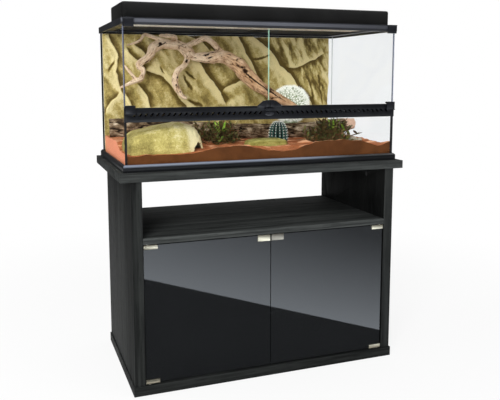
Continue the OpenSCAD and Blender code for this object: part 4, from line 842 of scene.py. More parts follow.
# sand: waves, a cut face behind the window, and low mounds
sand = {"halfWidth": 0.4446, "front": -0.2116, "rear": 0.2125, "low": 0.6936, "columns": 360, "rows": 170,
        "level": 0.7306, "wave": 0.003, "waveSize": 95.0, "dune": 0.006, "duneSize": 88.0, "bank": 0.022,
        "ripple": 0.0007, "rippleSize": 5.2, "rough": 0.0014, "roughSize": 16.0,
        "fine": 0.0003, "fineSize": 3.4}
sandFront = [  # X and height of the sand along the window, in mm
    (-445, 727), (-422, 724), (-404, 726), (-386, 730), (-363, 727), (-303, 727), (-242, 728), (-204, 735),
    (-166, 744), (-140, 743), (-115, 747), (-70, 745), (-37, 737), (3, 727), (20, 727), (44, 723),
    (85, 725), (104, 729), (127, 739), (150, 743), (169, 750), (200, 751), (226, 753), (240, 750),
    (262, 755), (299, 748), (329, 749), (352, 742), (374, 735), (397, 727), (420, 733), (445, 742),
]
sandMounds = [  # X, Y, half width along X and Y, and rise, in mm
    (188, -92, 44, 26, 13), (262, -128, 36, 20, 6), (330, -150, 40, 18, 6), (-30, -120, 60, 22, 5),
    (404, -150, 34, 20, 9), (-150, -90, 34, 40, 6),
]


def makeSandSkin():
    # dry sand on top, with painted highlights on crests and painted shade in troughs; the left cut painted
    # pale as painted light, and the cut face behind the front window painted dark as painted shade
    shade = Shade("desertSand")
    where = shade.place()
    grains = shade.noise(where, 1500.0, 3.0, 0.7)
    coarse = shade.noise(where, 330.0, 3.0, 0.6)
    cloud = shade.noise(where, 16.0, 3.0, 0.6)
    crest = shade.attribute("crest")
    dry = shade.mix(cloud.step(0.3, 0.75), tone(176, 96, 54), tone(206, 128, 84))
    for factor, colour in ((crest.step(0.15, 1.1) * 0.9, tone(250, 190, 148)),
                           ((0 - crest).step(0.2, 1.6) * 0.7, tone(128, 66, 34)),
                           (grains.step(0.45, 0.75) * 0.5, tone(244, 186, 142)),
                           (coarse.step(0.55, 0.75) * 0.35, tone(150, 76, 44)),
                           (shade.attribute("leftFace").step(0.4, 0.6) * (1 - grains * 0.4),
                            tone(232, 150, 116))):
        dry = shade.mix(factor, dry, colour)
    # the cut face behind the front window is painted dark brown: painted shade
    cutShade = shade.mix(cloud.step(0.3, 0.7), tone(76, 43, 19), tone(93, 55, 27))
    cutShade = shade.mix(grains.step(0.5, 0.8) * 0.4, cutShade, tone(112, 70, 40))
    return shade.surface(Base_Color=shade.mix(shade.attribute("cutFace").step(0.4, 0.6), dry, cutShade),
                         Roughness=0.9 - grains * 0.1, Specular_IOR_Level=0.15,
                         Normal=shade.bump(grains * 0.5 + coarse * 0.5, 0.0012, 0.8))


def makeSand(values):
    x = np.linspace(-values["halfWidth"], values["halfWidth"], values["columns"])
    y = np.linspace(values["front"], values["rear"], values["rows"])
    x, y = np.meshgrid(x, y)
    flat = np.stack([x, y, 0 * x], -1) * mm
    edge = np.interp(x * mm, *np.array(sandFront, float).T) / mm
    inner = values["level"] + values["wave"] * roughNoise(flat * (1, 1.8, 1), values["waveSize"], 3, 3)
    inner += values["dune"] * (0.55 - np.abs(roughNoise(flat * (1, 1.9, 1), values["duneSize"], 2, 17)))
    inner += (values["bank"] * (0.3 + 0.7 * np.clip(-x / values["halfWidth"], 0, 1))
              * smoothStep(-0.11, 0.0, y))
    for middleX, middleY, halfX, halfY, rise in sandMounds:
        far = np.hypot((flat[..., 0] - middleX) / halfX, (flat[..., 1] - middleY) / halfY)
        inner += rise / mm * np.clip(1 - far, 0, 1) ** 1.2
    ripple = flat[..., 1] + 16 * smoothNoise(flat, 60.0, 8)
    ripple = np.sin(ripple / values["rippleSize"]) * values["ripple"]
    ripple *= smoothStep(-0.2, 0.6, smoothNoise(flat, 120.0, 12))
    # the edge behind the window blends into the inner level within 70 mm
    away = smoothStep(0.0, 0.07, y - values["front"])
    z = edge * (1 - away) + inner * away
    z += ripple * smoothStep(0.0, 0.03, y - values["front"])
    z += values["rough"] * roughNoise(flat, values["roughSize"], 4, 31, 0.6)
    z += values["fine"] * smoothNoise(flat, values["fineSize"], 40)
    # height over the surroundings: crests are painted paler and troughs darker, as painted light and shade
    crest = (z - blurred(z, 5.0)) * mm
    rows, columns = x.shape
    ring = edgeRing(rows, columns)
    sideTop = np.array([[x[j, i], y[j, i], z[j, i]] for j, i in ring])
    foot = sideTop * (1, 1, 0) + (0, 0, values["low"])
    faces = gridFaces(rows, columns)
    start, n = rows * columns, len(ring)
    for k in range(n):
        m = (k + 1) % n
        faces.append((start + k, start + n + k, start + n + m, start + m))
    faces.append(tuple(start + n + k for k in range(n)))
    points = np.concatenate([np.stack([x, y, z], -1).reshape(-1, 3), sideTop, foot])
    obj = meshObject("sandBed", points, faces, makeSandSkin())
    top, side = np.zeros(start), np.zeros(2 * n)
    onFront = [float(j == 0) for j, i in ring]
    onLeft = [float(i == 0 and j > 0) for j, i in ring]
    setAttributes(obj, cutFace=np.concatenate([top, onFront, onFront]),
                  leftFace=np.concatenate([top, onLeft, onLeft]), crest=np.concatenate([crest.ravel(), side]))
    roundOff(obj, 50)
    dress(obj, "tank", "sand", "sand")


makeSand(sand)
print("sand ready")

# rock hide: a low moulded cave with its mouth at the right
hide = {"centre": (-0.3130, -0.1079), "half": (0.1278, 0.0945), "foot": 0.7214, "high": 0.1035, "wall": 0.005,
        "mouthTurn": -24.0, "mouthRadius": 0.035, "ragged": 0.007, "mouthFrom": 0.05,
        "turns": 240, "rows": 90,
        "boxy": (0.36, 1.0), "steep": (0.30, 0.42), "round": 0.82, "tip": 0.876,
        "bulge": 0.0028, "dents": 0.0008, "crease": 0.0022, "inset": 0.0024,
        "crown": ([-1, -0.89, -0.61, -0.35, -0.04, 0.17, 0.41, 0.65, 1],
                  [0.60, 0.65, 0.71, 0.77, 0.87, 0.91, 0.93, 0.92, 0.84]),
        "skin": (tone(228, 218, 172), tone(192, 178, 106), tone(112, 100, 50))}


def makeHide(values):
    # highest right of its middle, long and low to the left, steep at the right
    turns = np.linspace(0, fullTurn, values["turns"], endpoint=False)
    rise = np.linspace(0, math.pi / 2, values["rows"] + 1)[:-1]
    a, b = np.meshgrid(turns, rise)
    lump = 1 - 0.02 * (1 - np.cos(3 * a + 0.6)) * np.cos(b)
    out = np.cos(b) ** np.where(np.cos(a) < 0, *values["steep"]) * lump
    boxy = np.where(np.cos(a) < 0, *values["boxy"])
    x = values["half"][0] * np.sign(np.cos(a)) * np.abs(np.cos(a)) ** (boxy * 0.8 + 0.04) * out
    y = values["half"][1] * np.sign(np.sin(a)) * np.abs(np.sin(a)) ** boxy * out
    z = values["high"] * np.sin(b) ** values["round"] * np.interp(x / values["half"][0], *values["crown"])
    tip = np.array([[0.0, 0.0, values["high"] * values["tip"]]])
    grain = np.concatenate([np.stack([x, y, z], -1).reshape(-1, 3), tip]) * mm
    points = grain / mm
    bulge = (roughNoise(grain, 46.0, 3, 14) * values["bulge"]
             + roughNoise(grain, 12.0, 3, 15, 0.6) * values["dents"]
             - values["crease"] * hump(roughNoise(grain * (0.5, 1, 1), 40.0, 2, 18), 0.05))
    inward = points / np.maximum(np.linalg.norm(points, axis=1)[:, None], 1e-6)
    low = smoothStep(0.004, 0.03, points[:, 2])[:, None]
    points = points + inward * (bulge * 0.9 - values["inset"])[:, None] * low
    # the mouth, a low arch with a ragged edge, opens to the right and the front
    way = onTurn(math.radians(values["mouthTurn"]))
    aside = points[:, 0] * way[1] - points[:, 1] * way[0]
    ragged = values["mouthRadius"] + values["ragged"] * roughNoise(points * mm, 12.0, 3, 6)
    inMouth = (points[:, :2] @ way > values["mouthFrom"]) & (np.hypot(aside, points[:, 2]) < ragged)
    faces = [f for f in domeFaces(*x.shape, closedBelow=False) if not all(inMouth[i] for i in f)]
    obj = meshObject("rockHideShell", points + (*values["centre"], values["foot"]), faces)
    trim = bmesh.new()
    trim.from_mesh(obj.data)
    bmesh.ops.delete(trim, geom=[v for v in trim.verts if not v.link_faces], context="VERTS")
    trim.to_mesh(obj.data)
    trim.free()
    addModifier(obj, "wall", "SOLIDIFY", thickness=values["wall"], offset=-1.0)
    applyModifiers(obj)
    p, n = pointsAndNormals(obj)
    # the first attribute is random mottle; the second is painted light and shade: the right part painted pale
    # as a lit face, the far left end darker, and upward faces paler
    setAttributes(obj, hollow=roughNoise(p * mm, 22.0, 3, 4) * 1.6 - 0.4,
                  broad=smoothStep(-0.262, -0.222, p[:, 0]) * 12 + smoothStep(-0.44, -0.30, p[:, 0]) * 4
                  + n[:, 2] * 3 - 4)
    obj.data.materials.append(makeRockSkin("hideRock", *values["skin"]))
    roundOff(obj, 60)
    dress(obj, "tank", "rock", "rock_hide")


makeHide(hide)
print("hide ready")

# fallen log: weathered wood, split along its length, with broken ends
log = {"left": (-0.4365, 0.162), "right": (0.4345, 0.0223), "steps": 440, "sides": 120,
       "stripped": 0.05, "ends": 10,
       "rise": ([0, 0.2, 0.5, 0.65, 0.8, 0.93, 1], [0.7783, 0.7745, 0.7650, 0.7620, 0.7660, 0.7780, 0.7860]),
       "radius": ([0, 0.03, 0.2, 0.5, 0.8, 0.93, 0.96, 1],
                  [0.0385, 0.0395, 0.0360, 0.0285, 0.0285, 0.0290, 0.0265, 0.0225]),
       "girth": 0.955, "strip": 0.022, "groove": 0.075, "lumps": 0.045, "broken": 0.16,
       "dent": 0.004, "dish": 0.002, "turn": 7.56}


def makeLogSkin(values):
    shade = Shade("weatheredLog")
    streak = shade.noise(shade.place((0.11, 1, 1), (0, 0, math.radians(values["turn"]))),
                         210.0, 5.0, 0.65, 0.5)
    patch = shade.noise(shade.place((0.7, 1, 1)), 46.0, 4.0, 0.62)
    speck = shade.noise(shade.place(), 700.0, 3.0, 0.7)
    # the bark is darker in its grooves and paler on its raised strips: painted shade and painted highlight
    level = (shade.attribute("groove") * 0.55 + (streak - 0.5) * 0.9 + (patch - 0.5) * 1.7
             + (speck - 0.5) * 0.5 + 0.5)
    bark = shade.ramp(level, [(0.0, tone(24, 17, 11)), (0.3, tone(74, 57, 40)), (0.55, tone(130, 110, 86)),
                              (0.8, tone(188, 170, 144)), (1.0, tone(226, 212, 188))])
    leftEnd = shade.place((1, 1, 1), (0, 0, 0), (0, 0, -values["rise"][1][0]))
    rings = shade.node("ShaderNodeTexWave", {"wave_type": "RINGS", "rings_direction": "X"}, {
        "Vector": leftEnd, "Scale": 38.0, "Distortion": 3.0, "Detail": 3.0}, out="Fac")
    old = shade.mix(rings * 0.5 + speck * 0.3 + patch * 0.2, tone(46, 36, 29), tone(120, 101, 84))
    fresh = shade.mix(patch * 0.6 + speck * 0.4, tone(206, 160, 132), tone(250, 222, 200))
    wood = shade.mix(shade.axis("X").step(-0.1, 0.1), old, fresh)
    return shade.surface(Base_Color=shade.mix(shade.attribute("cut").step(0.4, 0.6), bark, wood),
                         Roughness=0.88, Specular_IOR_Level=0.2,
                         Normal=shade.bump(streak * 0.7 + speck * 0.3, 0.0016, 0.8))


def makeLog(values):
    t = np.linspace(0, 1, values["steps"])
    left, right = (np.array([*values[end], 0.0]) for end in ("left", "right"))
    path = left + np.outer(t, right - left)
    path[:, 2] = np.interp(t, *values["rise"])
    direction, length = unit(path[-1] - path[0]), np.linalg.norm(path[-1] - path[0]) * mm
    turns = np.arange(values["sides"]) * fullTurn / values["sides"]
    aa, tt = np.meshgrid(turns, t * length)
    bark = np.stack([tt / 11.0, 22 * np.cos(aa + tt * 0.002), 22 * np.sin(aa + tt * 0.002)], -1)
    strip = roughNoise(bark, 9.0, 4, 80, 0.6)
    groove = hump(roughNoise(bark * (1.4, 1, 1), 11.0, 3, 90), 0.07)
    lumps = roughNoise(np.stack([tt, 34 * np.cos(aa), 34 * np.sin(aa)], -1), 60.0, 3, 85)
    broken = smoothStep(1 - values["stripped"], 1.0, t)[:, None] * values["broken"]
    scale = (values["girth"] + values["strip"] * strip - values["groove"] * groove + values["lumps"] * lumps
             - broken * (1 + lumps))
    r = (np.interp(t, *values["radius"])[:, None] * scale)[..., None]
    side = unit(np.cross(direction, (0, 0, 1)))
    up = np.cross(side, direction)
    body = path[:, None, :] + r * (np.cos(aa)[..., None] * side + np.sin(aa)[..., None] * up)
    rows, columns = aa.shape
    points = [body.reshape(-1, 3)]
    # lower in grooves and higher on raised strips, for the painted shade and highlight of the bark
    depth = [np.where(groove > 0.35, -groove, 0.0).ravel() + strip.ravel() * 0.5]
    # the bark is off at the broken right end
    inside = [smoothStep(1 - values["stripped"], 1 - values["stripped"] * 0.6,
                         tt / length + 0.012 * strip).ravel()]
    faces = [tuple(reversed(f)) for f in gridFaces(rows, columns, wrap=True)]
    rings = values["ends"] - 1
    for end, outward in ((0, -1), (rows - 1, 1)):
        # each end is a dished face of rings round a point
        start = sum(len(p) for p in points)
        for share in 1 - np.arange(1, values["ends"]) / values["ends"]:
            ring = path[end] + (body[end] - path[end]) * share
            dent = values["dent"] * roughNoise(ring * mm, 9.0, 2, 3) - values["dish"] * (1 - share)
            points.append(ring + direction * (outward * dent)[:, None])
        points.append([path[end] - direction * outward * values["dish"]])
        depth.append(np.zeros(rings * columns + 1))
        inside.append(np.ones(rings * columns + 1))
        made = []
        for i in range(columns):
            m = (i + 1) % columns
            made.append((end * columns + i, end * columns + m, start + m, start + i))
            for j in range(rings - 1):
                a, b = start + j * columns, start + (j + 1) * columns
                made.append((a + i, a + m, b + m, b + i))
            made.append((start + (rings - 1) * columns + i, start + (rings - 1) * columns + m,
                         start + rings * columns))
        faces += made if outward > 0 else [tuple(reversed(f)) for f in made]
    obj = meshObject("fallenLogBark", np.concatenate(points), faces, makeLogSkin(values))
    setAttributes(obj, groove=np.concatenate(depth), cut=np.concatenate(inside))
    work = bmesh.new()
    work.from_mesh(obj.data)
    bmesh.ops.recalc_face_normals(work, faces=work.faces)
    work.to_mesh(obj.data)
    work.free()
    roundOff(obj, 60)
    dress(obj, "tank", "log", "fallen_log")


makeLog(log)
print("log ready")

# driftwood: limbs grown together, with grain, knots, hollows and cracks
driftwood = {"thick": 0.028, "level": 1.0753, "voxel": 0.0021, "steps": 14, "sides": 28, "gnarl": 0.17,
             "wander": 0.0036, "grain": 0.0015, "swell": 0.0038, "furrow": 0.0034, "hollow": 0.00042,
             "hollowRim": 0.00011, "knot": 0.00026, "split": 0.0042, "batch": 4000}
driftLimbs = {  # X, Y and height over the level in mm, then the share of the full thickness
    "trunk": ([(266, 40, -256), (210, 36, -230), (157, 38, -204), (101, 42, -174), (40, 46, -130),
               (-3, 62, -82), (-38, 88, -52), (-100, 134, -48), (-140, 156, -46), (-168, 168, -12),
               (-232, 174, -4), (-269, 174, -13), (-290, 170, -41), (-329, 162, -74), (-318, 150, -98),
               (-330, 140, -124), (-356, 128, -134), (-406, 104, -157)],
              [.5, .54, .57, .68, .9, .94, .80, .68, .5, .54, .61, .68, .52, .42, .30, .34, .27, .10]),
    "loop": ([(-38, 100, -48), (-70, 126, -5), (-94, 146, 16), (-120, 160, 8), (-156, 166, -8)],
             [.42, .36, .36, .34, .36]),
    "branch": ([(-180, 168, -17), (-161, 156, -52), (-172, 144, -73), (-193, 136, -92), (-210, 130, -120),
                (-211, 128, -148), (-196, 128, -177), (-170, 128, -195)],
               [.4, .36, .34, .34, .38, .38, .34, .2]),
    "twig": ([(-232, 172, 5), (-296, 158, 22), (-311, 150, 23), (-331, 138, 4), (-378, 126, -11)],
             [.28, .22, .2, .18, .10]),
    "knob": ([(-200, 172, 5), (-206, 162, 21), (-235, 154, 22), (-260, 150, 24)], [.34, .3, .26, .16]),
    "prong": ([(-350, 129, -130), (-374, 120, -96), (-389, 114, -78)], [.22, .19, .09]),
}
driftHollows = [  # place and radius of knot holes, in mm
    ((12, 32, 977), 11), ((2, 40, 990), 7), ((-118, 112, 1052), 12), ((-166, 140, 1012), 9),
    ((-283, 150, 1066), 6), ((-256, 155, 1071), 7), ((-296, 150, 1040), 5), ((-340, 128, 1003), 6),
    ((-150, 128, 1016), 6), ((-60, 70, 1030), 5), ((-205, 118, 955), 4), ((-211, 116, 930), 4),
    ((-208, 116, 968), 3.5), ((-196, 118, 905), 3.5), ((-262, 152, 1047), 4), ((110, 26, 915), 4),
]
driftKnots = [  # place and radius of the swellings, in mm
    ((18, 26, 973), 15), ((3, 40, 1007), 15), ((-264, 148, 1072), 10), ((-151, 120, 1017), 13),
    ((-96, 110, 1040), 12), ((-232, 158, 1066), 9), ((110, 30, 896), 11), ((-205, 124, 950), 7),
    ((-330, 140, 960), 7),
]
driftCracks = [  # lines of a deep split, in mm, and its half width
    ([(16, 30, 966), (46, 24, 944), (84, 24, 918), (122, 26, 894), (160, 28, 872)], 2.6),
    ([(-30, 66, 1034), (-60, 84, 1038), (-96, 108, 1022)], 2.0),
    ([(-96, 112, 1036), (-130, 128, 1030), (-152, 138, 1014)], 2.2),
    ([(-300, 146, 1048), (-322, 142, 1022)], 1.6), ([(-238, 158, 1076), (-262, 156, 1062)], 1.8),
]


def makeDriftwoodSkin():
    # warm wood, bleached to the left, painted darker in furrows, knot holes, rings round knots and splits as
    # painted shade
    shade = Shade("driftwoodSkin")
    where = shade.place()
    patch, fine = shade.noise(where, 42.0, 4.0, 0.6), shade.noise(where, 620.0, 4.0, 0.7)
    level = (patch - 0.5) * 1.5 + shade.attribute("grain") * 0.7
    warm = shade.mix(level + 0.5, tone(134, 94, 62), tone(232, 194, 152))
    pale = shade.mix(level + 0.55, tone(182, 142, 106), tone(252, 232, 204))
    colour = shade.mix(shade.attribute("bleach").step(0.05, 0.8), warm, pale)
    colour = shade.mix(fine.step(0.52, 0.75) * 0.35, colour, tone(120, 84, 60))
    colour = shade.mix(shade.attribute("dark").step(0.12, 0.8), colour, tone(40, 23, 12))
    return shade.surface(Base_Color=colour, Roughness=0.82 + fine * 0.1, Specular_IOR_Level=0.2,
                         Normal=shade.bump(fine, 0.0009, 0.7))


def growLimbs(values):
    # the limbs as one mesh, and a trail of place, direction, radius and distance along them
    parts, trail = [], []
    for points, radii in driftLimbs.values():
        path = curveThrough(np.array(points, float) / mm + (0, 0, values["level"]), values["steps"])
        spread = np.interp(np.linspace(0, len(radii) - 1, len(path)), range(len(radii)), radii)
        path = path + values["wander"] * np.stack([smoothNoise(path * mm, 34.0, s) for s in (1, 2, 3)], 1)
        radius = spread * values["thick"]

        def gnarl(turn, along, seed=50 + len(parts)):
            ring = np.stack([2.2 * np.cos(turn), 2.2 * np.sin(turn), turn * 0 + along * 22], -1)
            return 1 + values["gnarl"] * roughNoise(ring, 1.7, 3, seed)
        parts.append(tubeMesh(path, radius, values["sides"], gnarl))
        ahead = np.gradient(path, axis=0)
        far = np.concatenate([[0], np.cumsum(np.linalg.norm(np.diff(path, axis=0), axis=1))])
        trail.append(np.concatenate([path, ahead / np.linalg.norm(ahead, axis=1)[:, None],
                                     radius[:, None], far[:, None] + len(parts) * 3.0], 1))
    obj = joinParts("driftwoodGnarled", parts)
    addModifier(obj, "grow", "REMESH", mode="VOXEL", voxel_size=values["voxel"])
    addModifier(obj, "relax", "SMOOTH", factor=0.5, iterations=2)
    return applyModifiers(obj), np.concatenate(trail)


def makeDriftwood(values):
    obj, trail = growLimbs(values)
    p, n = pointsAndNormals(obj)
    nearest = np.zeros(len(p), int)
    for start in range(0, len(p), values["batch"]):
        part = p[start:start + values["batch"]]
        gap = np.linalg.norm(part[:, None, :] - trail[None, :, :3], axis=2) - trail[None, :, 6]
        nearest[start:start + values["batch"]] = gap.argmin(1)
    spot = trail[nearest]
    rel, ahead = p - spot[:, :3], spot[:, 3:6]
    onward = np.einsum("ij,ij->i", rel, ahead)
    along = spot[:, 7] * mm + onward * mm
    cross = (rel - ahead * onward[:, None]) * mm
    twist = along * 0.012
    # fibres run along each limb and swirl a little
    fibre = np.stack([along / 9.0, cross[:, 0] * np.cos(twist) + cross[:, 2] * np.sin(twist),
                      cross[:, 2] * np.cos(twist) - cross[:, 0] * np.sin(twist) + cross[:, 1] * 0.6], 1)
    grain = roughNoise(fibre, 4.2, 3, 11, 0.6)
    furrow = hump(roughNoise(fibre * (1.2, 1, 1), 8.0, 2, 25), 0.07)
    thick = np.clip(spot[:, 6] / values["thick"], 0.15, 1)
    lumps = roughNoise(p * mm, 24.0, 3, 30)
    shift = (values["grain"] * grain * thick ** 0.5 + values["swell"] * lumps * thick
             - values["furrow"] * furrow * thick)
    # painted shade: darker in furrows, knot holes, rings round knots and splits; the grain attribute also
    # darkens furrows
    dark = 0.55 * furrow - 0.3 * grain
    inMm = p * mm
    for place, radius in driftHollows:
        near = np.linalg.norm((inMm - place) * (1, 0.55, 1) + 0.25 * radius * lumps[:, None], axis=1) / radius
        shift -= values["hollow"] * radius * np.clip(1 - near ** 2, 0, 1) ** 0.7 * 1.4
        shift += values["hollowRim"] * radius * hump(near - 1.25, 0.28)
        dark += 1.5 * np.clip(1.05 - near, 0, 1)
    for place, radius in driftKnots:
        near = np.linalg.norm(inMm - place, axis=1) / radius
        shift += values["knot"] * radius * hump(near, 1) * (1 + 0.5 * lumps)
        dark += 0.25 * hump(near - 1.3, 0.22)
    for points, half in driftCracks:
        line = np.array(points, float)
        best = np.full(len(p), 1e9)
        for a, b in zip(line[:-1], line[1:]):
            t = np.clip(((inMm - a) @ (b - a)) / ((b - a) @ (b - a)), 0, 1)
            flat = (inMm - a - t[:, None] * (b - a)) * (1, 0.3, 1)
            best = np.minimum(best, np.linalg.norm(flat, axis=1) + 1.1 * lumps)
        split = hump(best, half) * (n[:, 1] < 0.2)
        shift -= values["split"] * split * thick
        dark += 1.1 * split
    obj.data.vertices.foreach_set("co", (p + n * shift[:, None]).astype(np.float32).ravel())
    obj.data.update()
    setAttributes(obj, dark=dark, grain=grain * 0.5 + furrow * -0.4,
                  bleach=smoothStep(60, -190, inMm[:, 0]) + 0.35 * lumps)
    obj.data.materials.append(makeDriftwoodSkin())
    roundOff(obj)
    dress(obj, "tank", "driftwood", "driftwood")


makeDriftwood(driftwood)
print("driftwood ready")


# one tree of Geometry Nodes; inputs are named, and numbers go in by the socket's identifier
class NodeTree:
    def __init__(self, name, inputs):
        self.tree = bpy.data.node_groups.new(name, "GeometryNodeTree")
        face = self.tree.interface
        face.new_socket("Geometry", in_out="OUTPUT", socket_type="NodeSocketGeometry")
        face.new_socket("Geometry", in_out="INPUT", socket_type="NodeSocketGeometry")
        self.ids = {}
        for label, (kind, value) in inputs.items():
            socket = face.new_socket(label, in_out="INPUT", socket_type="NodeSocket" + kind)
            self.ids[socket.identifier] = value
        self.group = self.tree.nodes.new("NodeGroupInput")
        self.result = self.tree.nodes.new("NodeGroupOutput")

    def value(self, label):
        return self.group.outputs[label]

    def node(self, kind, settings=None, sockets=None):
        made = self.tree.nodes.new(kind)
        for key, setting in (settings or {}).items():
            setattr(made, key, setting)
        for key, given in (sockets or {}).items():
            if isinstance(given, bpy.types.NodeSocket):
                self.tree.links.new(given, made.inputs[key])
            else:
                made.inputs[key].default_value = given
        return made

    def join(self, pieces):
        made = self.node("GeometryNodeJoinGeometry")
        for piece in pieces:
            self.tree.links.new(piece, made.inputs[0])
        return made.outputs[0]

    def close(self, geometry, material):
        real = self.node("GeometryNodeRealizeInstances", None, {0: geometry})
        coat = self.node("GeometryNodeSetMaterial", None, {"Geometry": real.outputs[0], "Material": material})
        self.tree.links.new(coat.outputs[0], self.result.inputs[0])

    def run(self, obj):
        work = obj.modifiers.new("build", "NODES")
        work.node_group = self.tree
        for identifier, value in self.ids.items():
            work[identifier] = value
        return applyModifiers(obj)


def scatterTree(name, material, settings, spike):
    # small copies of a shape stand all over a surface, evenly apart, each tipped and sized at random
    tree = NodeTree(name, {"Apart": ("Float", settings["apart"]), "Seed": ("Int", settings["seed"]),
                           "Smallest": ("Float", settings["smallest"]),
                           "Largest": ("Float", settings["largest"]),
                           "Tip": ("Float", settings["tip"])})
    spread = tree.node("GeometryNodeDistributePointsOnFaces", {"distribute_method": "POISSON"}, {
        "Mesh": tree.value("Geometry"), "Distance Min": tree.value("Apart"),
        "Density Max": settings["densest"], "Seed": tree.value("Seed")})
    size = tree.node("FunctionNodeRandomValue", {"data_type": "FLOAT"}, {
        2: tree.value("Smallest"), 3: tree.value("Largest"), "Seed": tree.value("Seed")})
    tip = tree.value("Tip")
    low = tree.node("ShaderNodeMath", {"operation": "MULTIPLY"}, {0: tip, 1: -1.0}).outputs[0]
    lowest = tree.node("ShaderNodeCombineXYZ", None, {0: low, 1: low, 2: 0.0})
    highest = tree.node("ShaderNodeCombineXYZ", None, {0: tip, 1: tip, 2: 6.283})
    turn = tree.node("FunctionNodeRandomValue", {"data_type": "FLOAT_VECTOR"}, {
        0: lowest.outputs[0], 1: highest.outputs[0], "Seed": 7})
    tipped = tree.node("FunctionNodeRotateRotation", {"rotation_space": "LOCAL"}, {
        0: spread.outputs["Rotation"], 1: turn.outputs[0]})
    placed = tree.node("GeometryNodeInstanceOnPoints", None, {
        "Points": spread.outputs["Points"], "Instance": spike(tree, settings), "Rotation": tipped.outputs[0],
        "Scale": size.outputs[1]})
    tree.close(placed.outputs[0], material)
    return tree


def spineStar(tree, settings):
    # a tuft of spines round Z: a few stand up and the rest lie outward
    laid = []
    for k in range(settings["perStar"]):
        lean = 0.15 + 0.95 * ((k * 5) % 11) / 10
        cone = tree.node("GeometryNodeMeshCone", {"fill_type": "NONE"}, {
            "Vertices": 3, "Side Segments": 1, "Radius Top": 0.0, "Radius Bottom": settings["base"],
            "Depth": settings["length"] * (0.75 + 0.25 * ((k * 3) % 5) / 5)})
        laid.append(tree.node("GeometryNodeTransform", None, {
            "Geometry": cone.outputs["Mesh"], "Rotation": (lean, 0.0, k * goldenTurn)}).outputs[0])
    return tree.join(laid)


# cacti: heads with ribs or areoles, and spines over them
spinyCactus = {"place": (0.226, 0.1291), "foot": 0.7214, "height": 0.2060, "headRadius": 0.0645,
               "sunk": 0.007, "stemRadius": 0.0285, "stemHeights": (0, 0.04, 0.07, 0.1), "stemSteps": 8,
               "stemSides": 40, "turns": 120, "rises": 59, "knobs": 0.05,
               "spines": {"apart": 0.0084, "seed": 4, "smallest": 0.95, "largest": 1.25, "tip": 0.15,
                          "densest": 400000.0, "perStar": 19, "length": 0.0135, "base": 0.0006}}
barrelCactus = {"place": (0.114, -0.0229), "foot": 0.7214, "height": 0.0830, "radius": 0.0322, "ribs": 14,
                "perRib": 12, "rises": 60, "below": 0.62, "tip": 0.992, "deep": 0.24, "slim": 0.72,
                "areoles": 5.5, "firstAreole": -0.4545, "lastAreole": 1.45, "perAreole": 6,
                "spineLength": 0.0052, "spineBase": (0.00045, 0.00025, 0.0004)}


def makeSpineSkin():
    shade = Shade("whiteSpines")
    shine = shade.noise(shade.place(), 120.0, 3.0)
    # the spines glow faintly though they are no lamp: painted light
    return shade.surface(Base_Color=shade.mix(shine, tone(246, 247, 238), tone(254, 254, 250)), Roughness=0.6,
                         Emission_Color=(1.0, 1.0, 0.95, 1.0), Emission_Strength=0.14)


def makeSpinySkin():
    shade = Shade("spinyCactusSkin")
    where = shade.place()
    cell = shade.node("ShaderNodeTexVoronoi", {"feature": "F1"}, {"Vector": where, "Scale": 210.0})
    green = shade.mix(shade.noise(where, 60.0, 3.0), tone(84, 106, 62), tone(166, 182, 140))
    return shade.surface(Base_Color=shade.mix(cell.step(0.06, 0.16), tone(180, 190, 160), green),
                         Roughness=0.75, Normal=shade.bump(cell, 0.001, 0.7))


def makeSpinyCactus(values):
    middle, radius = np.array([*values["place"], values["foot"]]), values["headRadius"]
    path = curveThrough([(0, 0, z) for z in values["stemHeights"]], values["stemSteps"]) + middle
    stem = tubeMesh(path, [values["stemRadius"]] * len(path), values["stemSides"],
                    lambda turn, along: 1 + values["knobs"] * np.sin(turn * 13) * np.sin(along * 34))
    # tubercles in crossing spirals
    aa, bb = ballGrid(values["turns"], values["rises"])
    knob = 0.5 + 0.5 * np.cos(21 * aa + 34 * bb) * np.cos(13 * aa - 34 * bb)
    r = radius * (0.96 + values["knobs"] * knob)
    points = np.stack([r * np.cos(bb) * np.cos(aa), r * np.cos(bb) * np.sin(aa), r * np.sin(bb)], -1)
    points = np.concatenate([points.reshape(-1, 3), [[0, 0, -radius], [0, 0, radius]]])
    head = (points + middle + (0, 0, values["height"] - radius - values["sunk"]), domeFaces(*aa.shape))
    body = joinParts("spinyCactusBody", [stem, head], makeSpinySkin())
    roundOff(body)
    spikes = joinParts("spinyCactusSpines", [head])
    scatterTree("cactusSpines", whiteSpines, values["spines"], spineStar).run(spikes)
    for obj in (body, spikes):
        dress(obj, "tank", "cactus_white", "spiny_cactus")


def makeBarrelSkin():
    shade = Shade("barrelCactusSkin")
    where = shade.place()
    tint = shade.mix(shade.noise(where, 50.0, 3.0), tone(34, 70, 66), tone(66, 108, 98))
    # the furrows between ribs are painted near black: painted shade
    colour = shade.mix(shade.attribute("rib").step(0.15, 0.85), tone(12, 24, 23), tint)
    colour = shade.mix(shade.attribute("areole").step(0.35, 0.85), colour, tone(226, 234, 218))
    return shade.surface(Base_Color=colour, Roughness=0.6,
                         Normal=shade.bump(shade.noise(where, 500.0, 3.0), 0.0006, 0.6))


def areoleStar(centre, outward, side, turned, values):
    # thin three-sided spines that lean out all round one areole
    up, count = np.cross(outward, side), values["perAreole"]
    wide, narrow, deep = values["spineBase"]
    for j in range(count):
        angle = fullTurn * j / count + turned
        way = unit(outward * 0.7 + (side * math.cos(angle) + up * math.sin(angle)) * 0.75)
        across = unit(np.cross(way, outward + (0.01, 0.02, 0.03)))
        third = np.cross(way, across)
        yield (np.array([centre + across * wide, centre - across * narrow + third * deep,
                         centre - across * narrow - third * deep, centre + way * values["spineLength"]]),
               [(0, 1, 3), (1, 2, 3), (2, 0, 3)])


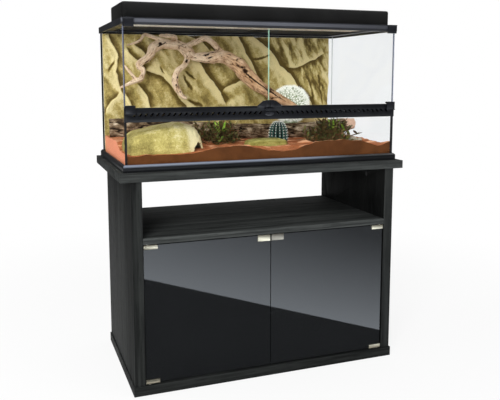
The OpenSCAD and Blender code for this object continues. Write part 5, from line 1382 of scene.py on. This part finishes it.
def makeBarrelCactus(values):
    middle, below = np.array([*values["place"], values["foot"]]), math.sin(values["below"])
    count = values["ribs"] * values["perRib"]
    aa, bb = np.meshgrid(np.arange(count) * fullTurn / count,
                         np.linspace(-values["below"], math.pi / 2, values["rises"])[:-1])
    rib = np.abs(np.cos(aa * values["ribs"] / 2)) ** 1.6
    deep = values["deep"] * np.cos(bb) ** 0.6
    areole = hump(np.mod(bb * values["areoles"], 1.0) - 0.5, 0.13) * np.clip(rib * 5 - 3.8, 0, 1)
    out = values["radius"] * (1 - deep + deep * rib) * (1 + 0.03 * areole) * np.cos(bb) ** values["slim"]
    z = values["height"] * (np.sin(bb) + below) / (1 + below)
    points = np.stack([out * np.cos(aa), out * np.sin(aa), z], -1).reshape(-1, 3)
    points = np.concatenate([points, [[0, 0, 0], [0, 0, values["height"] * values["tip"]]]]) + middle
    body = meshObject("barrelCactusBody", points, domeFaces(*aa.shape), makeBarrelSkin())
    setAttributes(body, rib=np.concatenate([rib.ravel(), [0, 0.6]]),
                  areole=np.concatenate([areole.ravel(), [0, 0]]))
    roundOff(body)
    # spines stand in stars on the areoles of every rib
    stars = []
    for k in range(values["ribs"]):
        x, y = onTurn(fullTurn * k / values["ribs"])
        for b in np.arange(values["firstAreole"], values["lastAreole"], 1 / values["areoles"]):
            r = values["radius"] * math.cos(b) ** values["slim"] * 1.01
            z = values["height"] * (math.sin(b) + below) / (1 + below)
            outward = np.array([math.cos(b) * x, math.cos(b) * y, math.sin(b)])
            stars += areoleStar(middle + (r * x, r * y, z), outward, np.array([-y, x, 0.0]), 0.3 * k, values)
    spikes = joinParts("barrelCactusSpines", stars, whiteSpines)
    for obj in (body, spikes):
        dress(obj, "tank", "cactus_green", "barrel_cactus")


whiteSpines = makeSpineSkin()
makeSpinyCactus(spinyCactus)
makeBarrelCactus(barrelCactus)
print("cacti ready")

# plants: two loose tufts of narrow leaves with a few bright shoots
plant = {"foot": 0.7215, "height": 0.092, "depth": 0.054, "leafLength": 0.044, "leafWidth": 0.0118,
         "leafThick": 0.0005, "perStem": 9, "fold": 0.25, "leafSteps": 6, "stemSteps": 7, "stemSides": 6,
         "stemFoot": 0.0016, "stemTip": 0.0006, "sag": 0.016, "shootTurn": 2.1, "shootLength": 0.05,
         "shootWidth": 0.0085}
plantPlaces = {  # place, half width, stems and bright shoots
    "left_plant": ((-0.104, -0.0079), 0.084, 56, 3), "right_plant": ((0.296, -0.0629), 0.114, 80, 3)}


def leafBlade(root, way, side, length, width, droop):
    # a pointed blade with a folded midrib that bends over to its tip
    steps = plant["leafSteps"]
    t = np.linspace(0, 1, steps + 1)
    middle = root + np.outer(t * length, way) - np.outer(droop * length * t ** 2, (0, 0, 1))
    half = width / 2 * np.sin(np.pi * np.clip(t * 0.93 + 0.07, 0, 1)) ** 0.8
    raised = np.cross(way, side) * (half * plant["fold"])[:, None]
    left, right = (middle + side * half[:, None] * sign + raised for sign in (1, -1))
    faces = []
    for a in range(0, steps * 3, 3):
        faces += [(a, a + 1, a + 4, a + 3), (a + 1, a + 2, a + 5, a + 4)]
    return np.stack([left, middle, right], 1).reshape(-1, 3), faces


def makePlant(node, place, reach, stems, shoots, values, seed):
    draw = np.random.default_rng(seed)
    middle = np.array([*place, values["foot"]])
    dark, bright = [], []
    for k in range(stems):                       # woody stems that carry the leaves
        lean = draw.uniform(0.15, 1.25)
        way = np.array([*onTurn(k * goldenTurn) * math.sin(lean), math.cos(lean)])
        flat = max(math.hypot(way[0] / reach, way[1] / values["depth"]), 2.0)
        length = min(values["height"] * draw.uniform(0.75, 1.0) / max(way[2], 0.25), 1 / flat) * 0.9
        stem = np.array([middle + way * length * s - np.array([0, 0, values["sag"]]) * s ** 2 * math.sin(lean)
                         for s in np.linspace(0, 1, values["stemSteps"])])
        dark.append(tubeMesh(stem, np.linspace(values["stemFoot"], values["stemTip"], values["stemSteps"]),
                             values["stemSides"]))
        for share in 0.22 + 0.78 * np.arange(values["perStem"]) / (values["perStem"] - 1):
            root = stem[0] + (stem[-1] - stem[0]) * share
            turn = draw.uniform(0, 6.283)
            leaf = unit(way * 0.55 + np.array([*onTurn(turn), draw.uniform(-0.1, 0.7)]) * 0.8)
            side = unit(np.cross(leaf, (0.1, 0.2, 1.0)))
            long = values["leafLength"] * draw.uniform(0.55, 1.0)
            tip = root + leaf * long - middle
            over = max(math.hypot(tip[0] / reach, tip[1] / values["depth"]), tip[2] / values["height"], 1.0)
            target = bright if draw.random() < 0.02 and share > 0.6 else dark
            target.append(leafBlade(root, leaf, side, long / over,
                                    values["leafWidth"] * draw.uniform(0.6, 1.0), draw.uniform(0.0, 0.35)))
    for k in range(shoots):                      # upright bright shoots in the middle
        x, y = onTurn(k * values["shootTurn"])
        root = middle + (x * 0.008 + 0.006, y * 0.008 - 0.01, 0.043)
        way = unit(np.array([x * 0.28, y * 0.28, 1.0]))
        bright.append(leafBlade(root, way, np.cross(way, (0, 1, 0.2)), values["shootLength"],
                                values["shootWidth"], 0.02))
    for leaves, suffix, material in ((dark, "Leaves", leafDark), (bright, "Shoots", leafBright)):
        obj = joinParts(node.replace("_p", "P") + suffix, leaves, material)
        addModifier(obj, "body", "SOLIDIFY", thickness=values["leafThick"], offset=0.0)
        applyModifiers(obj)
        roundOff(obj, 60)
        dress(obj, "tank", "leaf", node)


def makeLeafShade(name, dark, pale, dry):
    # dry is the share of brown in the patches of old leaf
    shade = Shade(name)
    where = shade.place()
    patch, vein = shade.noise(where, 75.0, 3.0, 0.6), shade.noise(where, 700.0, 3.0, 0.6)
    colour = shade.mix(patch.step(0.35, 0.7) * 0.8 + vein * 0.2, dark, pale)
    colour = shade.mix(shade.noise(where, 130.0, 2.0).step(0.46, 0.57) * dry, colour, tone(132, 88, 64))
    return shade.surface(Base_Color=colour, Roughness=0.5, Specular_IOR_Level=0.35,
                         Normal=shade.bump(vein, 0.0005, 0.6))


leafDark = makeLeafShade("darkLeaf", tone(24, 32, 13), tone(134, 148, 80), 0.85)
leafBright = makeLeafShade("brightLeaf", tone(118, 176, 44), tone(196, 232, 96), 0.0)
for number, (node, (place, reach, stems, shoots)) in enumerate(plantPlaces.items()):
    makePlant(node, place, reach, stems, shoots, plant, 31 + number)
print("plants ready")

# flat stone and pebbles
slab = {"place": (0.036, -0.1009), "half": (0.070, 0.035), "foot": 0.7214, "height": 0.0330, "inside": 0.965,
        "turns": 80, "rises": 41, "skin": (tone(180, 174, 104), tone(144, 138, 70), tone(78, 72, 34), 0.7)}
pebbles = [((0.372, -0.072, 0.740), (0.012, 0.010, 0.009)), ((0.388, -0.068, 0.738), (0.009, 0.009, 0.008)),
           ((0.401, -0.080, 0.737), (0.010, 0.008, 0.007)), ((0.361, -0.086, 0.737), (0.008, 0.007, 0.006)),
           ((0.382, -0.090, 0.735), (0.007, 0.006, 0.005)), ((0.396, -0.060, 0.736), (0.008, 0.008, 0.007))]


def stoneMesh(centre, half, seed, boxy, rough):
    aa, bb = ballGrid(slab["turns"], slab["rises"])
    ball = np.stack([np.cos(bb) * np.cos(aa), np.cos(bb) * np.sin(aa), np.sin(bb)], -1)
    ball = np.sign(ball) * np.abs(ball) ** boxy
    points = np.concatenate([ball.reshape(-1, 3), [[0, 0, -1], [0, 0, 1]]])
    points = points * (1 + rough * roughNoise(points * 10, 8.0, 4, seed, 0.6))[:, None] * half + centre
    return points, domeFaces(*aa.shape)


def makeFlatStone(values):
    rise = values["height"] / 2
    half = np.array([*values["half"], rise]) * values["inside"]
    centre = (*values["place"], values["foot"] + rise)
    stone = joinParts("flatStoneSlab", [stoneMesh(centre, half, 5, 0.44, 0.15)],
                      makeRockSkin("flatStoneRock", *values["skin"]))
    p, n = pointsAndNormals(stone)
    # the first attribute is random mottle; the second paints the top paler than the sides: painted light
    setAttributes(stone, hollow=roughNoise(p * mm * (0.6, 1, 3), 10.0, 3, 9) * 2.2, broad=n[:, 2] * 3)
    roundOff(stone)
    dress(stone, "tank", "rock", "flat_stone")


def makePebbles():
    shade = Shade("palePebble")
    where = shade.place()
    speck, patch = shade.noise(where, 260.0, 4.0, 0.7), shade.noise(where, 60.0, 3.0)
    colour = shade.mix(speck.step(0.35, 0.7) * 0.6 + patch * 0.4, tone(150, 140, 118), tone(226, 218, 200))
    skin = shade.surface(Base_Color=colour, Roughness=0.8, Normal=shade.bump(speck, 0.0008, 0.7))
    small = joinParts("palePebbles", [stoneMesh(centre, half, 20 + k, 0.9, 0.12)
                                      for k, (centre, half) in enumerate(pebbles)], skin)
    roundOff(small)
    dress(small, "tank", "sand")


makeFlatStone(slab)
makePebbles()
print("stones ready")

# fine woven wire in the lid, and the gauze behind the vent slots
screen = {"pitch": 0.0042, "wire": 0.00042, "sides": 6, "margin": 0.0005}
vent = {"pitch": 0.0015, "wire": 0.00068, "behind": 0.0035, "low": 0.0108, "high": 0.0392,
        "ends": {"Left": (-0.436, -0.022), "Right": (0.022, 0.436)}}


def makeScreen(name, low, high, values, material, across):
    # rows of wires along each side of a rectangle, the two directions a wire apart
    pitch, wire = values["pitch"], values["wire"]
    tree = NodeTree(name + "Tree", {"Wire Radius": ("Float", wire), "Sides": ("Int", screen["sides"])})
    low, high = np.array(low), np.array(high)
    flatAxes = [a for a in range(3) if a != across]
    pieces = []
    for order, (run, step) in enumerate((flatAxes, flatAxes[::-1])):
        count = int((high[step] - low[step]) / pitch)
        start, offset, end = low.copy(), np.zeros(3), np.zeros(3)
        start[step] += (high[step] - low[step] - count * pitch) / 2
        start[across] += (-wire if order else wire) * 0.9
        offset[step], end[run] = pitch, high[run] - low[run]
        rows = tree.node("GeometryNodeMeshLine", {"mode": "OFFSET"}, {
            "Count": count + 1, "Start Location": tuple(start), "Offset": tuple(offset)})
        line = tree.node("GeometryNodeCurvePrimitiveLine", None,
                         {"Start": (0.0, 0.0, 0.0), "End": tuple(end)})
        ring = tree.node("GeometryNodeCurvePrimitiveCircle", None, {
            "Resolution": tree.value("Sides"), "Radius": tree.value("Wire Radius")})
        tube = tree.node("GeometryNodeCurveToMesh", None, {
            "Curve": line.outputs[0], "Profile Curve": ring.outputs[0], "Fill Caps": True})
        pieces.append(tree.node("GeometryNodeInstanceOnPoints", None, {
            "Points": rows.outputs[0], "Instance": tube.outputs[0]}).outputs[0])
    tree.close(tree.join(pieces), material)
    obj = tree.run(meshObject(name, [(0, 0, 0)], []))
    roundOff(obj, 60)
    return obj


def makeLidScreen(values):
    shade = Shade("screenWire")
    # painted light and shade: the wires are painted pale under the reflector and near black behind the hood
    under = 1 - shade.axis("Y").step(0.012, 0.030)      # pale under the reflector, dark behind the hood
    dust = shade.noise(shade.place(), 300.0, 3.0, 0.6)
    colour = shade.mix(under, tone(7, 7, 7), shade.mix(dust, tone(232, 226, 212), tone(250, 245, 232)))
    steel = shade.surface(Base_Color=colour, Roughness=0.5 + dust * 0.1)
    low, high = (np.array(corner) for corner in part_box("lid_mesh"))
    middle, margin = (low[2] + high[2]) / 2, values["margin"]
    obj = makeScreen("lidScreen", (low[0] + margin, low[1] + margin, middle),
                     (high[0] - margin, high[1] - margin, middle), values, steel, 2)
    dress(obj, "lid", "wire", "lid_mesh")


def makeVentGauze(values):
    # a near-black gauze just behind the slots, inside the hollow strip: painted shade, a dark sheet for the
    # shade seen through the slots
    gauze = makeMoulded("ventGauze", tone(2, 2, 3), 0.9, 0.0, 900.0, 0.0001)
    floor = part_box("vent_strip")[0][2]
    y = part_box("oval_plate")[1][1] + values["behind"]
    for side, (left, right) in values["ends"].items():
        obj = makeScreen("ventGauze" + side, (left, y, floor + values["low"]),
                         (right, y, floor + values["high"]),
                         values, gauze, 1)
        dress(obj, "tank", "black_plastic")


makeLidScreen(screen)
makeVentGauze(vent)
print("screens ready")
